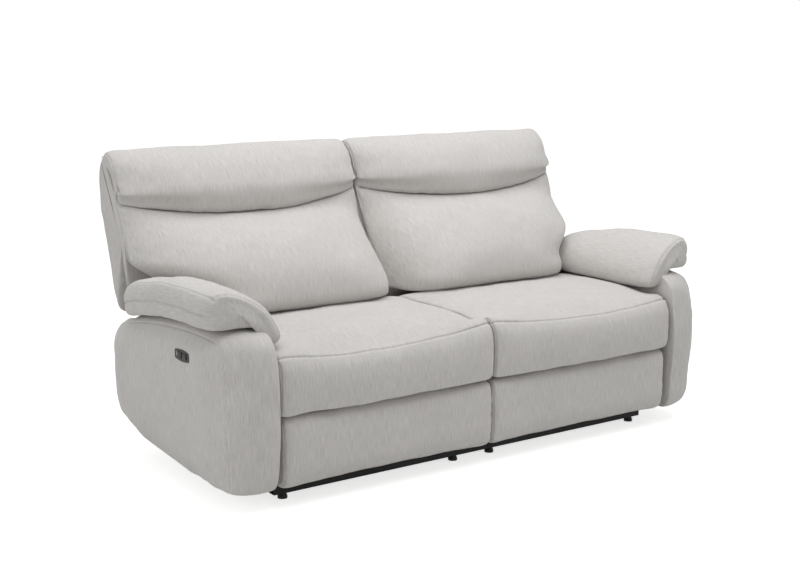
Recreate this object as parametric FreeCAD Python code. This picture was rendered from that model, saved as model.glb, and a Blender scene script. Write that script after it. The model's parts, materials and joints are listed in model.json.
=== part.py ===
import FreeCAD, Part
import math
import os

# Two seat power reclining sofa, in millimetres.
# X runs to the right as seen from the front, Y to the rear, Z up.
# The origin is on the floor under the middle of the sofa.
# Everything is drawn for the right seat and mirrored for the left one.

# Widths, from the middle of the sofa outwards
seat_split = 8.0
seat_width = 796.0
arm_gap = 6.0
arm_width = 176.0
wing_width = 125.0
wing_corner = (244.0, 506.0)

# Heights
foot_height = 18.0
arm_bottom_z = 61.0
arm_top_z = 548.0
footrest_low_z = 62.0
footrest_high_z = 282.0
seat_box_z = 292.0
seat_box_height = 65.0
seat_front_seam_z = 450.0
seat_crown_z = 497.0
back_low_z = 330.0
tuck_z = 796.0
back_frame_top_z = 955.0
back_top_z = 1026.0

# Depths
arm_front_y = -503.0
arm_rear_y = 356.0
seat_front_y = -505.0
seat_rear_y = 134.0
box_front_y = -360.0
box_rear_y = 140.0
back_rear_y = 503.0

# Clearances
rest_gap = 0.3
soft_gap = 1.0
pivot_play = 0.05
open_pivot_play = 0.3
button_gap = 0.4

# Sheet steel linkage, laid out in layers that start at the base rails
steel = 4.0
layer_gap = 2.0
pin_r = 5.0
eye_r = 14.0
bracket_foot = 34.0
rail_half = 311.0
rail_width = 28.0
rail_wall = 3.0
roller_r = 16.0
roller_width = 20.0
axle_y = 200.0
cross_rail_width = 32.0
front_rail_y = -363.0
rear_rail_y = 300.0
front_rail_reach = 765.0
foot_r = 15.5
bracket_width = 36.0
arm_bracket_places = (-280.0, 160.0)

# Footrest linkage, as (y, z) at rest: two parallelograms that share the main link
main_pivot = (-150.0, 345.0)
link_length = 290.0
link_rest_deg = 60.0
rear_link_offset = -70.0
window_places = (-60.0, 20.0, 100.0)
window_z = 250.0
window_r = 20.0
footrest_pivot = (-350.0, 195.0)
drag_offset = 55.0
tube_arm = 140.0
tube_lag_deg = 15.0
tube_r = 12.0

# Back hinge, its cam pin, and the travel of the seat
back_pivot = (190.0, 300.0)
cam_pin_offset = (80.0, -60.0)
slot_parts = 6
glide = 90.0
recline_deg = 24.0

# Wooden and foam parts
board_thick = 18.0
board_back_y = -397.0
footrest_pad_thick = 84.0
footrest_inner_gap = 1.0
footrest_outer_gap = 15.0
timber = 22.0
spring_wire = 4.4
spring_count = 4
spring_swing = 26.0
spring_turns = 12
works_room = 17.0
packer_thick = 15.0
flipper_setback = 139.0
flipper_depth = 112.0
flipper_low_z = 229.0
flipper_thick = 35.0
flipper_round = 12.0
back_frame_thick = 24.0
back_slope = 0.35
belly_edge_y = 258.0
belly_depth = 204.0
belly_z = 684.0
arm_board_wall = 30.0
arm_skin = 14.0
arm_core_width = 110.0
pad_overhang = 36.0
pad_rise = 114.0
pad_hang = 40.0
pad_inner_end_y = 120.0

# Drive
drive_tube = 30.0
drive_tube_z = 135.0
nut_wall = 10.0
yoke_play = 5.5
yoke_wall = 8.0
yoke_width = 28.0
gearbox_width = 68.0
gearbox_length = 114.0
motor_r = 27.0
motor_length = 118.0

# Switch in the outer face of each arm
switch_y = -219.0
switch_z = 450.0
switch_length = 94.0
switch_height = 37.0
switch_depth = 12.0
key_length = 24.0
key_height = 18.0
key_thick = 10.0
open_key_y = -18.0
close_key_y = 14.0
button_travel = 1.5

seat_in = seat_split / 2
seat_out = seat_in + seat_width
seat_mid = (seat_in + seat_out) / 2
arm_in = seat_out + arm_gap
arm_out = arm_in + arm_width
back_out = seat_out + wing_width
back_mid = (seat_in + back_out) / 2
rail_low_z = foot_height + cross_rail_width
channel_height = 2 * (roller_r + rail_wall + rest_gap)
axle_z = rail_low_z + channel_height / 2
seat_box_top = seat_box_z + seat_box_height
cushion_z = seat_box_top + spring_wire + 2 * rest_gap
board_front_y = board_back_y - board_thick

link_angle = math.radians(link_rest_deg)
main_end = (
    main_pivot[0] + link_length * math.cos(link_angle),
    main_pivot[1] - link_length * math.sin(link_angle),
)
rear_pivot = (main_pivot[0] + rear_link_offset, main_pivot[1])
rear_end = (main_end[0] + rear_link_offset, main_end[1])
drag_shift = (-drag_offset * math.cos(link_angle), drag_offset * math.sin(link_angle))
drag_pivot = (main_end[0] + drag_shift[0], main_end[1] + drag_shift[1])
board_pivot = (footrest_pivot[0] + drag_shift[0], footrest_pivot[1] + drag_shift[1])
tube_angle = math.radians(link_rest_deg - tube_lag_deg)
tube_place = (
    main_pivot[0] + tube_arm * math.cos(tube_angle),
    main_pivot[1] - tube_arm * math.sin(tube_angle),
)
cam_pin = (back_pivot[0] + cam_pin_offset[0], back_pivot[1] + cam_pin_offset[1])
footrest_x = (seat_in + footrest_inner_gap, seat_out - footrest_outer_gap)
footrest_width = footrest_x[1] - footrest_x[0]


def vec(x, y, z):
    return FreeCAD.Vector(x, y, z)


def box(x, y, z):
    """A box from three (low, high) pairs."""
    return Part.makeBox(x[1] - x[0], y[1] - y[0], z[1] - z[0], vec(x[0], y[0], z[0]))


def pin(place, x, r):
    """A round bar along X at a (y, z) place."""
    return Part.makeCylinder(r, x[1] - x[0], vec(x[0], place[0], place[1]), vec(1, 0, 0))


def slab(points, x):
    """A flat sheet whose outline is a list of (y, z) points."""
    corners = [vec(x[0], y, z) for y, z in points]
    face = Part.Face(Part.makePolygon(corners + corners[:1]))
    return face.extrude(vec(x[1] - x[0], 0, 0))


def bar(start, end, x, r):
    """A straight link with round ends between two (y, z) places."""
    length = math.hypot(end[0] - start[0], end[1] - start[1])
    along = ((end[0] - start[0]) / length, (end[1] - start[1]) / length)
    side = (-along[1] * r, along[0] * r)

    def at(place, turn, reach=0.0):
        y = place[0] + turn * side[0] + reach * along[0]
        z = place[1] + turn * side[1] + reach * along[1]
        return vec(x[0], y, z)

    edges = [
        Part.makeLine(at(start, 1), at(end, 1)),
        Part.Arc(at(end, 1), at(end, 0, r), at(end, -1)).toShape(),
        Part.makeLine(at(end, -1), at(start, -1)),
        Part.Arc(at(start, -1), at(start, 0, -r), at(start, 1)).toShape(),
    ]
    return Part.Face(Part.Wire(edges)).extrude(vec(x[1] - x[0], 0, 0))


def layer(number):
    """The X span of a steel sheet, counted inwards from the base rails."""
    outer = seat_mid + rail_half - layer_gap - number * (steel + layer_gap)
    return (outer - steel, outer)


# The seat box, the gap panel and the back frame stand between the linkages
seat_box_width = 2 * (layer(3)[0] - seat_mid - works_room)
flipper_width = seat_box_width
back_frame_width = 2 * (layer(1)[0] - seat_mid - packer_thick)


def turned(place, pivot, degrees):
    """A (y, z) place after the back has reclined about its pivot."""
    a = math.radians(degrees)
    y, z = place[0] - pivot[0], place[1] - pivot[1]
    return (pivot[0] + y * math.cos(a) + z * math.sin(a), pivot[1] + z * math.cos(a) - y * math.sin(a))


def ring(place, start, steps):
    """A closed outline of lines and arcs: a step is a point, or a (through, end) pair."""
    edges = []
    here = start
    for step in list(steps) + [start]:
        if isinstance(step[0], tuple):
            through, end = step
            edges.append(Part.Arc(place(here), place(through), place(end)).toShape())
        else:
            end = step
            edges.append(Part.makeLine(place(here), place(end)))
        here = end
    return Part.Wire(edges)


def across(x):
    """Puts (y, z) points in the upright plane at one X."""
    return lambda point: vec(x, point[0], point[1])


def stations(start, width, draw, roll, parts=4):
    """Places across a cushion with how far its outline is drawn in there, rounding off both ends."""
    near = [0.0, 0.12 * roll, 0.45 * roll, roll]
    body = [roll + (width - 2 * roll) * number / parts for number in range(1, parts)]
    far = [width - distance for distance in reversed(near)]
    places = []
    for distance in near + body + far:
        to_end = min(distance, width - distance, roll) / roll
        places.append((start + distance, draw * (1 - math.sqrt(1 - (1 - to_end) ** 2))))
    return places


def one_piece(first, *others):
    return first.fuse(list(others)).removeSplitter()


def group(*shapes):
    solids = [solid for shape in shapes for solid in shape.Solids]
    return Part.makeCompound(solids)


def both_sides(shape):
    """A piece and its twin on the other side of the same seat."""
    return group(shape, shape.mirror(vec(seat_mid, 0, 0), vec(1, 0, 0)))


def mirrored(shape):
    return shape.mirror(vec(0, 0, 0), vec(1, 0, 0))


def write(name, shape):
    shape.exportStep("parts/" + name + ".step")
    print(name, len(shape.Solids), "solids", "valid" if shape.isValid() else "BROKEN")


def write_pair(name, shape):
    write(name + "_right", shape)
    write(name + "_left", mirrored(shape))


# Arm


def arm_outline(x, front, low, high, rear):
    """The arm seen from the side, drawn in by the four amounts at one X."""
    bottom = arm_bottom_z + low
    top = arm_top_z - high
    nose = arm_front_y + front
    heel = arm_rear_y - rear
    start = (nose + 52, bottom + 6)
    steps = [
        ((nose, bottom + 0.52 * (top - bottom)), (nose + 100, top - 14)),
        ((nose + 290, top), (heel - 118, top - 52)),
        ((heel - 40, top - 84), (heel - 4, top - 132)),
        ((heel, 0.5 * (top + bottom) - 10), (heel - 18, bottom + 74)),
        ((heel - 190, bottom + 22), (heel - 460, bottom)),
    ]
    return ring(across(x), start, steps)


def arm_form():
    """The arm's upholstered outside, which swells outwards between floor and pad."""
    stations = (
        (arm_in, 4, 4, 6, 0),
        (arm_in + 0.14 * arm_width, 0, 0, 0, 0),
        (arm_in + 0.60 * arm_width, 30, 0, 8, 0),
        (arm_in + 0.86 * arm_width, 48, 20, 52, 8),
        (arm_out, 66, 110, 96, 34),
    )
    return Part.makeLoft([arm_outline(*station) for station in stations], True, False)


def core_points(inset):
    """The plywood arm box, from the side. Its rear top corner is low to let the back pass."""
    low = arm_bottom_z + 34 + inset
    high = arm_top_z - 40 - inset
    nose = arm_front_y + 90 + inset
    heel = arm_rear_y - 40 - inset
    step_y = back_pivot[0] + 5 - inset
    step_z = back_low_z - 10 - inset
    return [
        (nose, low),
        (heel - 240, low),
        (heel, low + 66),
        (heel, step_z),
        (step_y, step_z),
        (step_y, high - 34),
        (nose + 300, high),
        (nose + 60, high),
        (nose, high - 90),
    ]


core_x = (arm_in + arm_skin, arm_in + arm_skin + arm_core_width)


def arm_frame():
    outside = slab(core_points(0), core_x)
    inside = slab(core_points(arm_board_wall), (core_x[0] - 1, core_x[1] + 1))
    return outside.cut(inside)


def arm_upholstery():
    """Foam and cloth round the arm box, with room for the reclining back behind the pad."""
    room_y = (back_pivot[0] + 10, arm_rear_y + 50)
    room = box((arm_in - 1, back_out + 5), room_y, (back_low_z, arm_top_z + 50))
    body = arm_form().cut(slab(core_points(0), core_x)).cut(room)
    return body.cut(switch_form(switch_length / 2, switch_height / 2, switch_depth + 2, 30.0))


def pad_outline(y_in, y_out, size, drop):
    """A slice across the arm pad: low at the seat, high outside, hanging over the inner edge."""
    x_in, x_out = arm_in - pad_overhang, arm_out + 8
    middle = (0.5 * (x_in + x_out), arm_top_z + 34)

    def place(point):
        x = middle[0] + size * (point[0] - middle[0])
        z = middle[1] + size * (point[1] - middle[1]) - drop
        share = (x - x_in) / (x_out - x_in)
        return vec(x, y_in + share * (y_out - y_in), z)

    top = arm_top_z + pad_rise
    start = (x_in, arm_top_z - 22)
    steps = [
        ((x_in + 82, top - 24), (x_out - 62, top)),
        ((x_out - 14, top - 16), (x_out, top - 62)),
        ((x_out - 4, top - 94), (x_out - 26, arm_top_z + 2)),
        (arm_in + 20, arm_top_z - 8),
        ((arm_in - 12, arm_top_z - 50), (x_in + 6, arm_top_z - 42)),
    ]
    return ring(place, start, steps)


def arm_pad():
    """A pillow along the arm, cut to the arm that it lies on."""
    stations = (
        (-516, -404, 0.55, -4),
        (-506, -392, 0.84, -2),
        (-452, -330, 1.0, 0),
        (-270, -230, 1.02, -2),
        (-40, -40, 0.98, 6),
        (100, 110, 0.82, 22),
        (178, 196, 0.60, 34),
        (196, 216, 0.36, 36),
    )
    pillow = Part.makeLoft([pad_outline(*station) for station in stations], True, False)
    under = arm_form()
    under.translate(vec(0, 0, rest_gap))
    inner_side = box((arm_in - rest_gap, arm_out), (arm_front_y - 50, arm_rear_y), (0, arm_top_z - pad_hang))
    past_seat = box((seat_mid, arm_in), (pad_inner_end_y, arm_rear_y), (0, back_top_z))
    return pillow.cut(under).cut(inner_side).cut(past_seat)


# Switch


def switch_form(half_length, half_height, depth, proud):
    """An oval plate in the arm's outer face, with short straight ends and arched long sides."""
    face_x = arm_out - 6
    shoulder = 0.36 * 2 * half_height

    def place(point):
        return vec(face_x - depth, switch_y + point[0], switch_z + point[1])

    start = (-half_length, -shoulder)
    steps = [
        ((0, -half_height), (half_length, -shoulder)),
        (half_length, shoulder),
        ((0, half_height), (-half_length, shoulder)),
    ]
    return Part.Face(ring(place, start, steps)).extrude(vec(depth + proud, 0, 0))


# Steel base


def channel(x_open, x_web):
    """A rail of C section that keeps a roller, open towards the seat's middle."""
    low, high = rail_low_z, rail_low_z + channel_height
    y = (front_rail_y + cross_rail_width / 2, rear_rail_y + cross_rail_width / 2)
    outside = box((x_open, x_web), y, (low, high))
    inside = box((x_open - 1, x_web - rail_wall), (y[0] - 1, y[1] + 1), (low + rail_wall, high - rail_wall))
    return outside.cut(inside)


def base_side_rails():
    x = seat_mid + rail_half
    return both_sides(channel(x, x + rail_width))


def cross_rail(y, reach):
    half = cross_rail_width / 2
    outside = box((-reach, reach), (y - half, y + half), (foot_height, rail_low_z))
    inside = box(
        (-reach - 1, reach + 1),
        (y - half + rail_wall, y + half - rail_wall),
        (foot_height + rail_wall, rail_low_z - rail_wall),
    )
    return outside.cut(inside)


def foot(x, y):
    """A turned plastic foot, wider at the floor."""
    sole = Part.makeCylinder(foot_r, 0.4 * foot_height, vec(x, y, 0))
    neck = Part.makeCone(foot_r, 0.7 * foot_r, 0.6 * foot_height, vec(x, y, 0.4 * foot_height))
    return one_piece(sole, neck)


def floor_feet():
    x_out = seat_mid + rail_half + rail_width / 2
    x_in = seat_mid - rail_half - rail_width / 2
    places = [(x, y) for x in (x_in, x_out) for y in (front_rail_y, rear_rail_y)]
    feet = group(*[foot(x, y) for x, y in places])
    return group(feet, mirrored(feet))


def cam_path(share):
    """Where the cam pin is when the seat has gone part of its way."""
    y, z = turned(cam_pin, back_pivot, share * recline_deg)
    return (y - share * glide, z)


def cam_plate():
    """Stands on the rear cross rail. Its slot turns the back as the seat rolls forward."""
    x = layer(2)
    first, last = cam_path(0), cam_path(1)
    heel = rear_rail_y + cross_rail_width / 2
    toe = rear_rail_y - cross_rail_width / 2
    margin = pin_r + 10
    outline = [
        (heel, rail_low_z),
        (heel, first[1] + margin - 6),
        (first[0] + 4, first[1] + margin),
        (last[0] - margin, last[1] + margin),
        (last[0] - margin, last[1] - margin),
        (toe, rail_low_z + 40),
        (toe, rail_low_z),
    ]
    plate = slab(outline, x)
    wide = (x[0] - 1, x[1] + 1)
    slot_r = pin_r + open_pivot_play
    for number in range(slot_parts):
        start = cam_path(number / slot_parts)
        end = cam_path((number + 1) / slot_parts)
        plate = plate.cut(bar(start, end, wide, slot_r))
    return plate


def rear_cross_rail():
    cams = both_sides(cam_plate())
    rail = cross_rail(rear_rail_y, seat_mid + rail_half + rail_width)
    return group(rail, cams, mirrored(cams))


def arm_bracket(place):
    """An angle that carries the arm on the outer base rail."""
    x_rail = seat_mid + rail_half + rail_width
    low, high = rail_low_z, rail_low_z + channel_height
    y = (place - bracket_width / 2, place + bracket_width / 2)
    web = box((x_rail, arm_in), y, (low + 12, low + 12 + steel))
    lug = box((x_rail, x_rail + steel), y, (low, high))
    cheek = box((arm_in - steel, arm_in), y, (low + 12, high + 60))
    return one_piece(web, lug, cheek)


def arm_brackets():
    pieces = group(*[arm_bracket(place) for place in arm_bracket_places])
    return group(pieces, mirrored(pieces))


def rear_panel():
    """The board across the rear, from arm to arm, that hides the works."""
    y = (arm_rear_y - 38, arm_rear_y - 20)
    return box((-arm_in + rest_gap, arm_in - rest_gap), y, (arm_bottom_z + 50, back_low_z - 30))


# Seat carriage


def carriage_plate():
    """One side of the rolling seat frame, with all the pins that it carries."""
    x = layer(0)
    top = seat_box_top - 5
    points = [
        (box_front_y, top),
        (back_pivot[0] - 60, top),
        (back_pivot[0] + 24, back_pivot[1] + 24),
        (back_pivot[0] + 26, back_pivot[1] - 20),
        (axle_y + 18, axle_z + 16),
        (axle_y + 18, axle_z - 14),
        (axle_y - 18, axle_z - 14),
        (axle_y - 24, axle_z + 60),
        (-axle_y + 40, axle_z + 90),
        (-axle_y + 18, axle_z - 14),
        (-axle_y - 18, axle_z - 14),
        (-axle_y - 30, axle_z + 100),
        (box_front_y, seat_box_z),
    ]
    plate = slab(points, x)
    for y in window_places:
        window = bar((y - 14, window_z), (y + 14, window_z), (x[0] - 1, x[1] + 1), window_r)
        plate = plate.cut(window)
    inward = (layer(1)[0] - 1, x[1])
    pins = [pin(place, inward, pin_r) for place in (main_pivot, rear_pivot, back_pivot)]
    channel_x = seat_mid + rail_half + rail_width - rail_wall - 1
    pins += [pin((y, axle_z), (x[0], channel_x), pin_r) for y in (-axle_y, axle_y)]
    return one_piece(plate, *pins)


def spacer(y):
    """A short box section that ties the carriage plate to the seat box."""
    x = (seat_mid + seat_box_width / 2, layer(0)[0])
    z = (seat_box_z + 10, seat_box_top - 10)
    outside = box(x, (y - 9, y + 9), z)
    inside = box((x[0] - 1, x[1] + 1), (y - 6, y + 6), (z[0] + 3, z[1] - 3))
    return outside.cut(inside)


def carriage_plates():
    plate = one_piece(carriage_plate(), spacer(box_front_y + 10), spacer(box_rear_y - 30))
    return both_sides(plate)


def roller(y):
    """A nylon roller with a groove round its rim, on the carriage's axle."""
    middle = seat_mid + rail_half + rail_wall
    x = (middle, middle + roller_width)
    tyre = pin((y, axle_z), x, roller_r)
    hub = pin((y, axle_z), (x[0] - 2, x[1] + 1), roller_r * 0.55)
    bore = pin((y, axle_z), (x[0] - 5, x[1] + 5), pin_r + pivot_play)
    return one_piece(tyre, hub).cut(bore)


def seat_box():
    half = seat_box_width / 2
    x = (seat_mid - half, seat_mid + half)
    outside = box(x, (box_front_y, box_rear_y), (seat_box_z, seat_box_top))
    inside = box(
        (x[0] + timber, x[1] - timber),
        (box_front_y + timber, box_rear_y - timber),
        (seat_box_z - 1, seat_box_top + 1),
    )
    return outside.cut(inside)


def spring(x):
    """A zigzag spring across the seat box from front rail to rear rail."""
    start = box_front_y + 6
    pitch = (box_rear_y - box_front_y - 12) / (spring_turns * 2)
    half = spring_wire / 2
    near = []
    far = []
    for turn in range(spring_turns * 2 + 1):
        side = 1 if turn % 2 else -1
        y = start + turn * pitch
        near.append(vec(x + side * spring_swing - half, y, 0))
        far.append(vec(x + side * spring_swing + half, y, 0))
    corners = near + far[::-1]
    wire = Part.makePolygon(corners + corners[:1])
    wire.translate(vec(0, 0, seat_box_top + rest_gap))
    return Part.Face(wire).extrude(vec(0, 0, spring_wire))


def seat_springs():
    pitch = seat_box_width / (spring_count + 1)
    left = seat_mid - seat_box_width / 2
    return group(*[spring(left + pitch * (number + 1)) for number in range(spring_count)])


def seat_outline(x, inset):
    """The seat cushion from the side: rounded front, crowned top and a lip down the box front."""
    share = (x - seat_mid) / (seat_width / 2)
    crown = seat_crown_z - 20 * share ** 2 - inset
    seam = seat_front_seam_z + 16 * share ** 2 - inset
    lip = footrest_high_z + 5
    front = seat_front_y + inset + 6 * share ** 2
    start = (front + 32, lip + 0.4 * inset)
    steps = [
        ((front, 0.5 * (lip + seam) + 6), (front + 34, seam)),
        ((-190, crown), (seat_rear_y - 10, seam + 2 - 0.5 * inset)),
        ((seat_rear_y, 0.5 * (seam + cushion_z)), (seat_rear_y - 8, cushion_z)),
        (box_front_y - rest_gap, cushion_z),
        (box_front_y - rest_gap, lip + 0.4 * inset),
    ]
    return ring(across(x), start, steps)


def seat_cushion():
    outlines = [seat_outline(x, inset) for x, inset in stations(seat_in, seat_width, 15, 42)]
    return Part.makeLoft(outlines, True, False)


# Footrest linkage


def main_links():
    """The two driven links and the cross tube that the drive pushes."""
    x = layer(1)
    plate = one_piece(
        bar(main_pivot, main_end, x, eye_r),
        bar(main_pivot, tube_place, x, eye_r + 3),
        bar(tube_place, drag_pivot, x, eye_r - 2),
    )
    hole = pin(main_pivot, (x[0] - 1, x[1] + 1), pin_r + pivot_play)
    reach = (layer(2)[0] - 1, x[1])
    link = one_piece(plate.cut(hole), pin(main_end, reach, pin_r), pin(drag_pivot, reach, pin_r))
    half = x[0] - seat_mid
    tube = pin(tube_place, (seat_mid - half, seat_mid + half), tube_r)
    bore = pin(tube_place, (seat_mid - half - 1, seat_mid + half + 1), tube_r - 2)
    return group(both_sides(link), tube.cut(bore))


def rear_links():
    x = layer(1)
    plate = bar(rear_pivot, rear_end, x, eye_r)
    hole = pin(rear_pivot, (x[0] - 1, x[1] + 1), pin_r + pivot_play)
    return both_sides(one_piece(plate.cut(hole), pin(rear_end, (layer(2)[0] - 1, x[1]), pin_r)))


def flipper_box():
    """The (y, z) span of the small panel that fills the gap behind the open footrest."""
    rear = main_end[0] - flipper_setback
    return (rear - flipper_depth, rear), (flipper_low_z, flipper_low_z + flipper_thick)


def upper_links():
    """The long links that stay level, each with an arm for the gap panel."""
    x = layer(2)
    plate = one_piece(bar(main_end, rear_end, x, eye_r), bar(rear_end, footrest_pivot, x, eye_r))
    wide = (x[0] - 1, x[1] + 1)
    holes = [
        pin(main_end, wide, pin_r + pivot_play),
        pin(rear_end, wide, pin_r + open_pivot_play),
        pin(footrest_pivot, wide, pin_r + pivot_play),
    ]
    plate = plate.cut(holes[0]).cut(holes[1]).cut(holes[2])
    y, z = flipper_box()
    root_y = 0.5 * (y[0] + y[1])
    share = (root_y - rear_end[0]) / (footrest_pivot[0] - rear_end[0])
    root_z = rear_end[1] + share * (footrest_pivot[1] - rear_end[1])
    inner = layer(3)
    weld = pin((root_y, root_z), (inner[0], x[0]), eye_r - 4)
    arm = bar((root_y, root_z), (root_y, z[0] - eye_r - steel), inner, eye_r - 2)
    shelf_x = (seat_mid + flipper_width / 2 - 30, inner[1])
    shelf = box(shelf_x, (root_y - 40, root_y + 40), (z[0] - steel - 1, z[0]))
    neck = box(inner, (root_y - eye_r + 2, root_y + eye_r - 2), (z[0] - 30, z[0] - 1))
    return both_sides(one_piece(plate, weld, arm, neck, shelf))


def drag_links():
    x = layer(2)
    plate = bar(drag_pivot, board_pivot, x, eye_r - 2)
    wide = (x[0] - 1, x[1] + 1)
    hinge = pin(drag_pivot, wide, pin_r + pivot_play)
    loose = pin(board_pivot, wide, pin_r + open_pivot_play)
    return both_sides(plate.cut(hinge).cut(loose))


def flipper_panel():
    y, z = flipper_box()
    half = flipper_width / 2
    panel = box((seat_mid - half, seat_mid + half), y, z)
    long_edges = [edge for edge in panel.Edges if edge.Length > flipper_width - 1]
    return panel.makeFillet(flipper_round, long_edges)


def footrest_brackets():
    """Angles on the back of the footrest board that hold both of its pivots."""
    x = layer(1)
    points = [
        (board_back_y, footrest_pivot[1] - 60),
        (footrest_pivot[0] + 6, footrest_pivot[1] - eye_r),
        (footrest_pivot[0] + eye_r, footrest_pivot[1]),
        (board_pivot[0] + eye_r, board_pivot[1] + 2),
        (board_pivot[0] + 2, board_pivot[1] + eye_r),
        (board_back_y, board_pivot[1] + eye_r),
    ]
    ear = slab(points, x)
    inward = (layer(2)[0] - 1, x[1])
    pins = [pin(footrest_pivot, inward, pin_r), pin(board_pivot, inward, pin_r)]
    foot_x = (x[0] - bracket_foot, x[1])
    foot_y = (board_back_y, board_back_y + steel)
    foot_top = board_pivot[1] + 20
    plate = box(foot_x, foot_y, (footrest_pivot[1] - 70, foot_top))
    notch_y = (foot_y[0] - 1, foot_y[1] + 1)
    notch = box((foot_x[0] - 1, x[0] - 12), notch_y, (footrest_pivot[1] - 5, foot_top + 1))
    return both_sides(one_piece(ear, plate.cut(notch), *pins))


def footrest_board():
    z = (footrest_low_z + 10, footrest_high_z - 10)
    return box((footrest_x[0] + 12, footrest_x[1] - 12), (board_front_y, board_back_y), z)


def footrest_outline(x, inset):
    low = footrest_low_z + inset
    high = footrest_high_z - inset
    rear = board_front_y - rest_gap
    front = rear - footrest_pad_thick + inset
    start = (rear, low + 10)
    steps = [
        ((rear - 14, low + 1), (rear - 44, low + 6)),
        ((front, 0.5 * (low + high)), (rear - 44, high - 6)),
        ((rear - 14, high - 1), (rear, high - 10)),
    ]
    return ring(across(x), start, steps)


def footrest_pad():
    outlines = [footrest_outline(x, inset) for x, inset in stations(footrest_x[0], footrest_width, 14, 40)]
    return Part.makeLoft(outlines, True, False)


# Drive


def actuator():
    """Motor, gearbox and the square tube with its screw, fixed to both cross rails."""
    half = drive_tube / 2
    x = (seat_mid - half, seat_mid + half)
    z = (drive_tube_z - half, drive_tube_z + half)
    front = front_rail_y - cross_rail_width / 2
    tube = box(x, (front, rear_rail_y - 60), z)
    front_leg = box(x, (front, front + nut_wall), (rail_low_z, z[0]))
    rail_y = (rear_rail_y - cross_rail_width / 2, rear_rail_y + cross_rail_width / 2)
    rear_leg = box(x, rail_y, (rail_low_z, z[1]))
    gearbox = box(
        (seat_mid - gearbox_width / 2, seat_mid + gearbox_width / 2),
        (rail_y[0] - gearbox_length, rail_y[0]),
        (z[0] - 18, z[1] + 12),
    )
    upright = [edge for edge in gearbox.Edges if abs(edge.Vertexes[0].Z - edge.Vertexes[1].Z) > 1]
    gearbox = gearbox.makeFillet(10.0, upright)
    motor_place = (rail_y[0] - gearbox_length / 2 - 19, drive_tube_z - 2)
    motor = pin(motor_place, (seat_mid + 20, seat_mid + 20 + motor_length), motor_r)
    return one_piece(tube, front_leg, rear_leg, gearbox, motor)


def drive_nut():
    """The travelling block and its yoke, which takes the cross tube between two cheeks."""
    inner = drive_tube / 2 + rest_gap
    outer = inner + nut_wall
    centre = tube_place[0]
    length = tube_r + yoke_play + yoke_wall
    block = box(
        (seat_mid - outer, seat_mid + outer),
        (centre - length, centre + length),
        (drive_tube_z - outer, drive_tube_z + outer),
    )
    bore = box(
        (seat_mid - inner, seat_mid + inner),
        (centre - length - 1, centre + length + 1),
        (drive_tube_z - inner, drive_tube_z + inner),
    )
    z = (drive_tube_z + outer - 1, tube_place[1] + tube_r + 4)
    x = (seat_mid - yoke_width / 2, seat_mid + yoke_width / 2)
    cheeks = [
        box(x, (centre + tube_r + yoke_play, centre + length), z),
        box(x, (centre - length, centre - tube_r - yoke_play), z),
    ]
    return one_piece(block.cut(bore), *cheeks)


# Back


def frame_y(z):
    """The middle plane of the leaning back frame."""
    return 255 + (z - 450) * back_slope


def leaning(z_low, z_high, x):
    """A board that lies in the back frame's plane between two heights."""
    half = back_frame_thick / 2
    points = [
        (frame_y(z_low) - half, z_low),
        (frame_y(z_low) + half, z_low),
        (frame_y(z_high) + half, z_high),
        (frame_y(z_high) - half, z_high),
    ]
    return slab(points, x)


def back_frame():
    half = back_frame_width / 2
    x = (seat_mid - half, seat_mid + half)
    low = back_low_z + 2
    top = back_frame_top_z
    uprights = [
        leaning(low, top, (x[0], x[0] + timber + 8)),
        leaning(low, top, (x[1] - timber - 8, x[1])),
    ]
    rails = [leaning(z, z + 60, x) for z in (low, 0.5 * (low + top), top - 60)]
    return one_piece(*uprights, *rails)


def back_brackets():
    """Steel arms from the back's hinge up the sides of its frame, each with a cam pin."""
    x = layer(1)
    knee_z = back_low_z + 10
    knee = (frame_y(knee_z), knee_z)
    top_z = back_low_z + 190
    half = back_frame_thick / 2 * math.cos(math.atan(back_slope)) - rest_gap
    plate = one_piece(
        bar(back_pivot, knee, x, half),
        bar(knee, (frame_y(top_z), top_z), x, half),
        bar(back_pivot, cam_pin, x, eye_r),
    )
    hole = pin(back_pivot, (x[0] - 1, x[1] + 1), pin_r + pivot_play)
    cam = pin(cam_pin, (layer(2)[0] - 1, x[1]), pin_r)
    z = (back_low_z + 30, top_z - 20)
    side = seat_mid + back_frame_width / 2
    packer = leaning(z[0], z[1], (side, x[0]))
    return both_sides(one_piece(plate.cut(hole), cam, packer))


def bulge(x, middle, half, power=2):
    return 1 - min(1.0, abs(x - middle) / half) ** power


def tuck(x):
    """The seam under the headrest: deep and low in the middle, higher at the ends."""
    b = bulge(x, back_mid, (back_out - seat_in) / 2)
    return (336 - 66 * b, tuck_z + 46 * (1 - b))


def belly_y(x, low_bulge):
    """How far forward the back stands at two thirds of its height."""
    high_bulge = bulge(x, back_mid, (back_out - seat_in) / 2, 3.4)
    return belly_edge_y - belly_depth * (0.35 * low_bulge + 0.65 * high_bulge)


def lumbar_outline(x, inset):
    """The lower back cushion from the side."""
    low_bulge = bulge(x, seat_mid, seat_width / 2, 4)
    board_y = frame_y(back_low_z + 40) - back_frame_thick / 2 - soft_gap
    foot_z = back_low_z + 40
    edge_y = seat_rear_y + 14
    seam = tuck(x)
    start = (edge_y, foot_z)
    nose = (edge_y + 6 + inset - 196 * low_bulge, seat_crown_z + 12 + inset)
    belly = (belly_y(x, low_bulge) + inset, belly_z)
    top_y = frame_y(seam[1]) - back_frame_thick / 2 - soft_gap
    steps = [
        (edge_y, seat_crown_z + 2),
        nose,
        (belly, (seam[0] + inset, seam[1] - soft_gap)),
        (top_y, seam[1] - soft_gap),
        (board_y, foot_z),
    ]
    return ring(across(x), start, steps)


def back_cushion():
    outlines = [lumbar_outline(x, inset) for x, inset in stations(seat_in, seat_width, 14, 50, 6)]
    return Part.makeLoft(outlines, True, False)


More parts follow.
